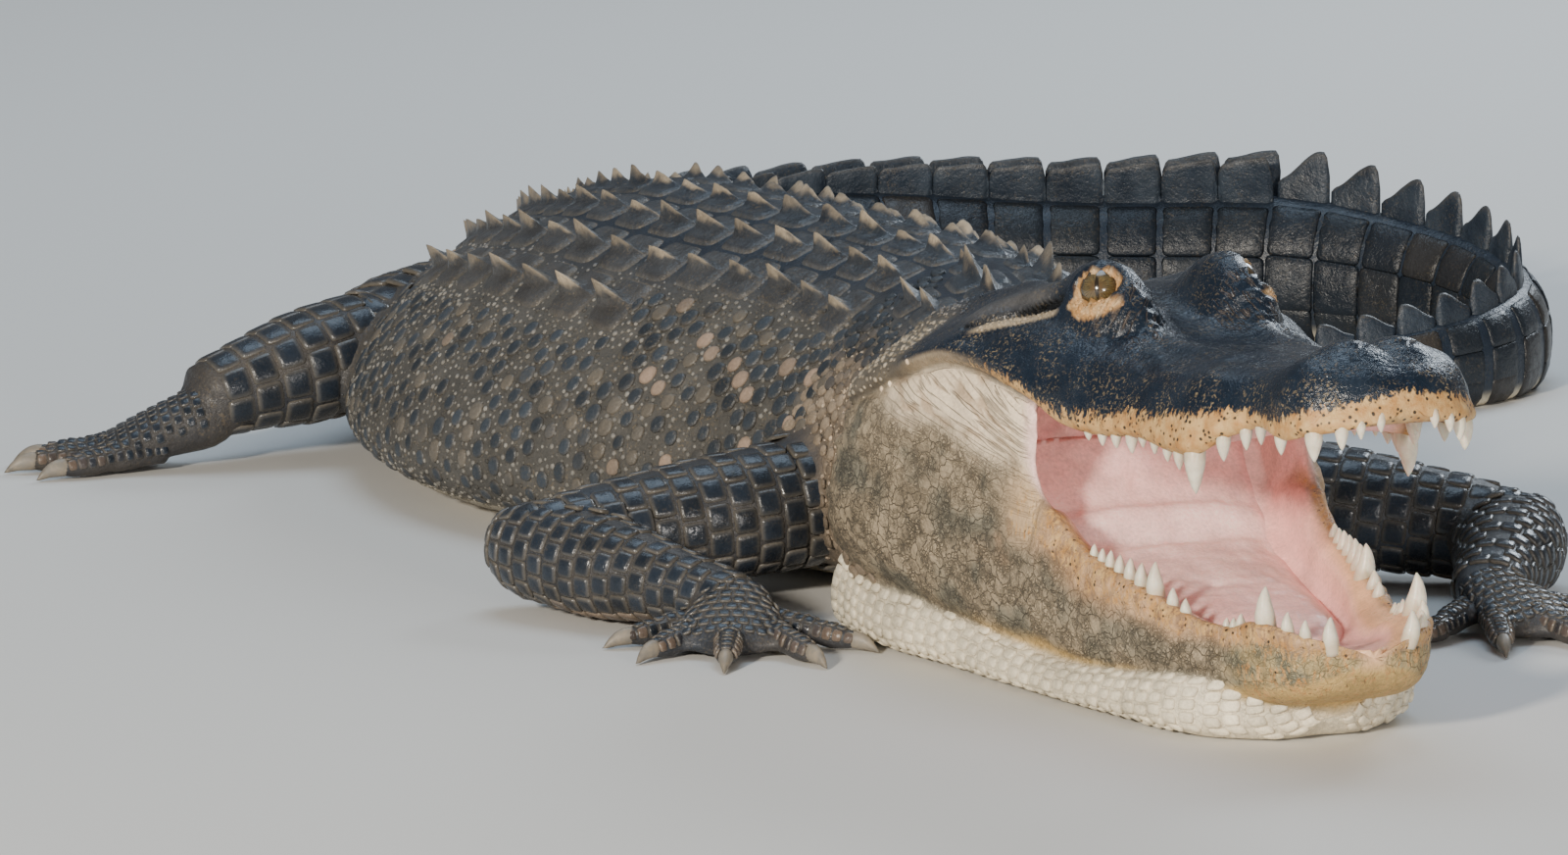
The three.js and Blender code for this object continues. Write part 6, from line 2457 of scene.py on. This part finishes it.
@dataclass
class Eyes:
    """Eyeballs with an upright slit.

    Attributes:
        rows: rings of a ball.
        columns: points of a ring.
        aim: direction in which the left eye looks.
    """

    rows: int = 64
    columns: int = 96
    aim: tuple = (0.76, 0.61, 0.14)

    def build(self, material: Material) -> list[Object]:
        """One mesh for each eye, the right one first."""
        polar, turn = np.linspace(0, math.pi, self.rows + 1)[1:-1], np.arange(self.columns) / self.columns * 2 * math.pi
        gp, gt = np.meshgrid(polar, turn, indexing="ij")
        a, b = np.sin(gp) * np.cos(gt), np.sin(gp) * np.sin(gt)
        w = np.cos(gp) * (1 + 0.05 * hump(gp, 0, 0.5))
        gaze = np.concatenate([np.stack([a, b, w], -1).reshape(-1, 3), [[0, 0, 1], [0, 0, -1]]])
        made = []
        for name, hand in zip(("right", "left"), HANDS):
            centre, out, ahead, high = eye_axes(self.aim, hand)
            ball = a[..., None] * ahead + b[..., None] * high + w[..., None] * out
            points, faces = loft(centre + EYE_RADIUS * ball)
            eye = mesh_object("eyeball_" + name, HEAD_AXES.moved(points), faces)
            store(eye.data, "gaze", "FLOAT_VECTOR", gaze)
            eye.data.materials.append(material)
            made.append(eye)
        return made


class Sheet(Wires):
    """A material and short ways to wire its nodes; sizes are in mm."""

    def __init__(self, name: str) -> None:
        """Starts a material with the usual shader."""
        self.material = bpy.data.materials.new(name)
        self.material.use_nodes = True
        super().__init__(self.material.node_tree)
        self.shader = self.tree.nodes["Principled BSDF"]
        self.where = self.node("TexCoord").outputs["Object"]

    def node(self, kind: str, settings: dict | None = None, **inputs: object) -> bpy.types.Node:
        """A new shader node, by the rest of its type's name."""
        return super().node("ShaderNode" + kind, settings, **inputs)

    def finished(self, **inputs: object) -> Material:
        """The material, with these inputs of its shader set or linked."""
        for key, value in inputs.items():
            self.feed(self.shader, key.replace("_", " "), value)
        return self.material

    def stored(self, name: str, output: str = "Fac") -> Socket:
        """A value stored on the mesh."""
        return self.node("Attribute", {"attribute_name": name}).outputs[output]

    def times(self, a: float | Socket, b: float | Socket) -> Socket:
        """Product of two values."""
        return self.maths("MULTIPLY", a, b)

    def span(self, value: Socket, low: float, high: float, to_low: float = 0.0, to_high: float = 1.0) -> Socket:
        """Value moved from one range to another, held at its ends."""
        made = self.node("MapRange", Value=value, From_Min=low, From_Max=high, To_Min=to_low, To_Max=to_high)
        return made.outputs["Result"]

    def blend(self, factor: float | Socket, a: Socket | tuple, b: Socket | tuple, kind: str = "MIX") -> Socket:
        """Mix of two colours; a tuple is a linear colour."""
        a, b = ((*colour, 1) if isinstance(colour, tuple) else colour for colour in (a, b))
        settings = {"data_type": "RGBA", "blend_type": kind, "clamp_factor": True}
        return self.node("Mix", settings, i0=factor, i6=a, i7=b).outputs[2]

    def noise(self, where: Socket, size: float, detail: float = 3.0, rough: float = 0.55) -> Socket:
        """Noise with features of a size."""
        return self.node("TexNoise", Vector=where, Scale=1000.0 / size, Detail=detail, Roughness=rough).outputs["Fac"]

    def cells(self, where: Socket, size: float, feature: str = "DISTANCE_TO_EDGE") -> Socket:
        """Distance to the borders of cells of a size, or to their middles with the feature F1."""
        return self.node("TexVoronoi", {"feature": feature}, Vector=where, Scale=1000.0 / size).outputs["Distance"]

    def bump(self, height: Socket, distance: float) -> Socket:
        """Normal bent by a height."""
        return self.node("Bump", Height=height, Distance=distance * MM).outputs["Normal"]


@dataclass(frozen=True)
class HideFinish:
    """Living hide, coloured by what is stored on the mesh.

    Attributes:
        name: of the material.
        dry: roughness where it is dry.
        soaked: roughness where it is wet.
        soft: share of light that goes under the skin.
        crack_size: size of the small cracks in mm.
        wrinkle_size: size of the long cracks.
        dot_pitch: distance of the dots of the lips.
        warp: how far the patterns are pushed about, in metres.
    """

    name: str = "hide"
    dry: float = 0.7
    soaked: float = 0.22
    soft: float = 0.0
    crack_size: float = 2.7
    wrinkle_size: float = 10.0
    dot_pitch: float = 5.0
    warp: float = 0.009

    def build(self) -> Material:
        """The material."""
        sheet = Sheet(self.name)
        where, span, noise, times, maths = sheet.where, sheet.span, sheet.noise, sheet.times, sheet.maths
        push = sheet.node("TexNoise", Vector=where, Scale=120.0, Detail=3.0).outputs["Color"]
        pushed = sheet.node("VectorMath", {"operation": "MULTIPLY_ADD"}, i0=push, i1=(self.warp,) * 3, i2=where)
        warped = pushed.outputs[0]
        fine, middle = noise(where, 2.4, 3, 0.6), noise(where, 7, 3, 0.6)
        shade = times(span(noise(where, 30, 5), 0.3, 0.7, 0.8, 1.22), span(fine, 0.3, 0.7, 0.86, 1.14))
        grey = sheet.node("CombineColor", Red=shade, Green=shade, Blue=shade).outputs[0]
        colour = sheet.blend(1.0, sheet.stored("tone", "Color"), grey, "MULTIPLY")
        # cracks
        small = span(sheet.cells(warped, self.crack_size), 0.0, 0.16, 1.0, 0.0)
        large = span(sheet.cells(warped, self.wrinkle_size), 0.0, 0.05, 1.0, 0.0)
        chance = span(noise(where, 12, 3), 0.38, 0.6, 0.1, 1.0)
        spots = span(noise(warped, 4.0, 5, 0.68), 0.5, 0.6, 0.0, 0.85)
        lines = maths("MAXIMUM", maths("MAXIMUM", times(small, chance), large), times(spots, chance))
        lines = times(lines, sheet.stored("crack"))
        colour = sheet.blend(times(lines, 0.8), colour, (0.022, 0.023, 0.022))
        # lips
        stretched = sheet.node("Mapping", Vector=warped, Scale=(1.0, 1.0, 0.22)).outputs["Vector"]
        streaks = span(noise(stretched, 2.6, 4, 0.6), 0.3, 0.7, -0.2, 0.2)
        lipped = span(maths("ADD", sheet.stored("lip"), streaks), 0.44, 0.56)
        warm = sheet.blend(span(noise(where, 8, 4), 0.35, 0.65), (0.46, 0.23, 0.075), (0.62, 0.40, 0.17))
        dots = span(sheet.cells(where, self.dot_pitch, "F1"), 0.19, 0.28, 0.95, 0.0)
        colour = sheet.blend(lipped, colour, sheet.blend(dots, warm, (0.02, 0.018, 0.015)))
        # flecks
        flecks = times(span(noise(warped, 2.2, 4, 0.7), 0.55, 0.63), span(noise(where, 26, 4), 0.42, 0.60))
        flecks = times(flecks, times(sheet.stored("speck"), maths("SUBTRACT", 1.0, lipped)))
        colour = sheet.blend(flecks, colour, (0.24, 0.18, 0.10))
        # folds
        spread = sheet.node("CombineXYZ", X=sheet.stored("fold_u"), Y=sheet.stored("fold_v"), Z=0.0).outputs[0]
        folded = sheet.node("TexNoise", Vector=spread, Scale=1.0, Detail=2.0, Roughness=0.5).outputs["Fac"]
        thin = maths("ABSOLUTE", maths("SUBTRACT", folded, 0.5))
        folds = times(span(thin, 0.0, 0.035, 1.0, 0.0), sheet.stored("fold"))
        colour = sheet.blend(times(folds, 0.5), colour, (0.20, 0.145, 0.10))
        rough = span(sheet.stored("wet"), 0.0, 1.0, self.dry, self.soaked)
        rough = maths("ADD", maths("ADD", rough, span(middle, 0.3, 0.7, -0.07, 0.09)), times(flecks, 0.25))
        height = times(maths("ADD", fine, times(middle, 2.0)), sheet.stored("grain"))
        for pattern in (lines, folds):
            height = maths("SUBTRACT", height, times(pattern, 1.3))
        inputs = {"Subsurface_Weight": self.soft, "Subsurface_Radius": (1.0, 0.35, 0.25), "Subsurface_Scale": 0.006}
        return sheet.finished(Base_Color=colour, Roughness=rough, Normal=sheet.bump(height, 0.8),
                              Specular_IOR_Level=0.38, **(inputs if self.soft > 0 else {}))


@dataclass(frozen=True)
class ToothFinish:
    """Ivory or horn: smooth, with faint lines.

    Attributes:
        name: of the material.
        rough: least roughness.
        soft: share of light that goes under the surface.
    """

    name: str = "ivory"
    rough: float = 0.26
    soft: float = 0.25

    def build(self) -> Material:
        """The material."""
        sheet = Sheet(self.name)
        where, span, noise = sheet.where, sheet.span, sheet.noise
        faint = span(noise(where, 5, 4), 0.4, 0.7, 0.0, 0.35)
        return sheet.finished(
            Base_Color=sheet.blend(faint, sheet.stored("tone", "Color"), (0.42, 0.33, 0.22)),
            Roughness=span(noise(where, 3, 3), 0.3, 0.7, self.rough, self.rough + 0.2),
            Normal=sheet.bump(noise(where, 1.6, 3), 0.15), Subsurface_Weight=self.soft, Subsurface_Scale=0.004)


@dataclass(frozen=True)
class EyeFinish:
    """Olive-gold iris with an upright slit, under a wet clear surface.

    Attributes:
        iris: edge of the iris as a fraction of the ball.
        slit: half width of the pupil.
        tall: half height of the pupil.
    """

    iris: float = 0.80
    slit: float = 0.10
    tall: float = 0.52

    def build(self) -> Material:
        """The material."""
        sheet = Sheet("eye")
        span, times, maths = sheet.span, sheet.times, sheet.maths
        gaze = sheet.stored("gaze", "Vector")
        a, b, _ = sheet.node("SeparateXYZ", Vector=gaze).outputs
        radius = maths("SQRT", maths("ADD", times(a, a), times(b, b)))
        spokes = sheet.node("CombineXYZ", X=times(maths("ARCTAN2", b, a), 7.0), Y=times(radius, 2.2), Z=0.0).outputs[0]
        streaks = sheet.node("TexNoise", Vector=spokes, Scale=1.6, Detail=4.0).outputs["Fac"]
        mottle = sheet.node("TexNoise", Vector=gaze, Scale=9.0, Detail=4.0).outputs["Fac"]
        gold = sheet.blend(span(streaks, 0.35, 0.65), (0.035, 0.024, 0.010), (0.15, 0.105, 0.04))
        gold = sheet.blend(span(mottle, 0.45, 0.65, 0.0, 0.6), gold, (0.09, 0.08, 0.04))
        gold = sheet.blend(span(radius, 0.15, 0.45, 0.75, 0.0), gold, (0.09, 0.05, 0.02))
        gold = sheet.blend(span(radius, self.iris - 0.12, self.iris), gold, (0.012, 0.010, 0.008))
        x, y = maths("DIVIDE", a, self.slit), maths("DIVIDE", b, self.tall)
        pupil = span(maths("ADD", times(x, x), times(y, y)), 0.8, 1.25, 1.0, 0.0)
        return sheet.finished(Base_Color=sheet.blend(times(pupil, 0.85), gold, (0.004, 0.003, 0.002)),
                              Roughness=0.22, Coat_Weight=1.0, Coat_Roughness=0.02, Coat_IOR=1.45)


@dataclass
class Stage:
    """Camera, floor and lights.

    Attributes:
        lens: focal length in mm.
        place: of the camera, in metres.
        heading: of the camera, in degrees.
        pitch: of the camera.
        lights: name, place, aim, size, power and colour of each.
    """

    lens: float = 223.9
    place: tuple = (-1.759, -6.788, 1.197)
    heading: float = -15.0
    pitch: float = -9.31
    lights: tuple = (
        ("key", (-4.6, -6.0, 2.5), (0.1, -0.6, 0.1), 0.7, 680, (1.0, 0.92, 0.80)),
        ("sky", (0.5, 1.5, 5.0), (0, 0, 0), 3.6, 110, (0.62, 0.80, 1.0)),
        ("fill", (0.6, -5.8, 0.7), (0.2, -1.0, 0.2), 1.0, 110, (1.0, 0.94, 0.88)),
        ("rim", (3.5, 3.0, 2.6), (0.1, 0.0, 0.1), 1.8, 110, (0.8, 0.9, 1.0)),
    )

    def build(self) -> None:
        """Makes them all."""
        link = bpy.context.scene.collection.objects.link
        camera = bpy.data.objects.new("camera", bpy.data.cameras.new("camera"))
        link(camera)
        camera.data.lens, camera.data.sensor_width, camera.data.clip_end = self.lens, 36, 100
        camera.location = self.place
        camera.rotation_euler = (math.radians(90 + self.pitch), 0, math.radians(self.heading))
        bpy.context.scene.camera = camera
        corners = np.array([[-1, -1, 0], [1, -1, 0], [1, 1, 0], [-1, 1, 0]]) * 60e3
        floor = mesh_object("floor", corners - np.array([0, 0, 1]), [[0, 1, 2, 3]])
        paint = Sheet("floor paint").finished(Base_Color=(0.72, 0.71, 0.68, 1), Roughness=0.8)
        floor.data.materials.append(paint)
        for name, place, aim, size, power, colour in self.lights:
            data = bpy.data.lights.new(name, "AREA")
            data.shape, data.size, data.energy, data.color = "DISK", size, power, colour
            lamp = bpy.data.objects.new(name, data)
            lamp.location = place
            lamp.rotation_euler = (Vector(aim) - Vector(place)).to_track_quat("-Z", "Y").to_euler()
            link(lamp)
        world = bpy.data.worlds.new("studio")
        bpy.context.scene.world = world
        world.use_nodes = True
        world.node_tree.nodes["Background"].inputs["Color"].default_value = (0.80, 0.84, 0.9, 1)
        world.node_tree.nodes["Background"].inputs["Strength"].default_value = 0.22


FLESH = ["head", "lower_jaw", "throat", "neck", "torso_front", "torso_middle", "torso_rear", "hips"]
FLESH += [f"tail_{i}" for i in range(1, 7)] + ["tail_tip"]
FLESH += [f"{part}_{side}" for side in LIMB_JOINTS
          for part in ("upper_arm", "forearm", "hand", "thigh", "shank", "foot")]


@dataclass
class Piece:
    """A finished piece.

    Attributes:
        made: the object.
        slot: slot of its finish; not used.
        nodes: the nodes it stands for.
    """

    made: Object
    slot: str
    nodes: list[str] = field(default_factory=list)

    def declare(self) -> None:
        """Hangs it under the root, hides the parts it stands for and logs its faces."""
        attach(self.made, "root")
        if self.nodes:
            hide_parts(*self.nodes)
        log.info("%s: %d faces", self.made.name, len(self.made.data.polygons))


def main() -> None:
    """Builds the animal and its stage, piece by piece."""
    logging.basicConfig(level=logging.INFO, format="%(message)s")
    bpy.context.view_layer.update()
    hide = HideFinish().build()
    mouth = HideFinish("mouth lining", dry=0.6, soaked=0.22, soft=0.3).build()
    ivory = ToothFinish().build()
    builder = Skin()
    skin = builder.build()
    skin.data.materials.append(hide)
    pieces = [Piece(skin, "back_hide", FLESH)]
    pieces += [Piece(BACK.build(hide), "back_hide"), Piece(TAIL.build(hide), "tail_hide")]
    coat = Coat(skin)
    granules = (Granules("flank_granules", Cover.FLANK, 4.9, 1.0, 2.6, 0.6, 3.4),
                Granules("lid_beads", Cover.LIDS, 2.4, 0.8, 1.6, 0.55, 1.25, 2))
    pieces.append(Piece(triangle_object("flank_scales", coat.flank(), hide), "flank_hide"))
    pieces += [Piece(grown.build(skin, hide), slot) for grown, slot in zip(granules, ("flank_hide", "back_hide"))]
    for name, parts, slot in (
        ("belly_scales", coat.belly(), "flank_hide"), ("tail_plates", coat.tail(), "tail_hide"),
        ("neck_scales", coat.neck(), "flank_hide"), ("leg_scales", coat.legs(builder.limbs), "leg_hide"),
        ("hand_and_foot_scales", coat.paws(builder.paws), "leg_hide"),
        ("throat_scales", coat.throat(JAW.throat_rings()), "throat_hide"),
    ):
        pieces.append(Piece(triangle_object(name, parts, hide), slot))
    pieces.append(Piece(Teeth().build(ivory), "jaw_hide"))
    pieces.append(Piece(Claws().build(builder.paws, ToothFinish("horn", 0.4, 0.0).build()), "leg_hide"))
    pieces.append(Piece(MouthFloor().build(mouth), "mouth_lining", ["tongue"]))
    for name, eye in zip(("right", "left"), Eyes().build(EyeFinish().build())):
        pieces.append(Piece(eye, "eye", ["eye_" + name]))
    for piece in pieces:
        piece.declare()
    Stage().build()


if __name__ == "__main__":
    main()
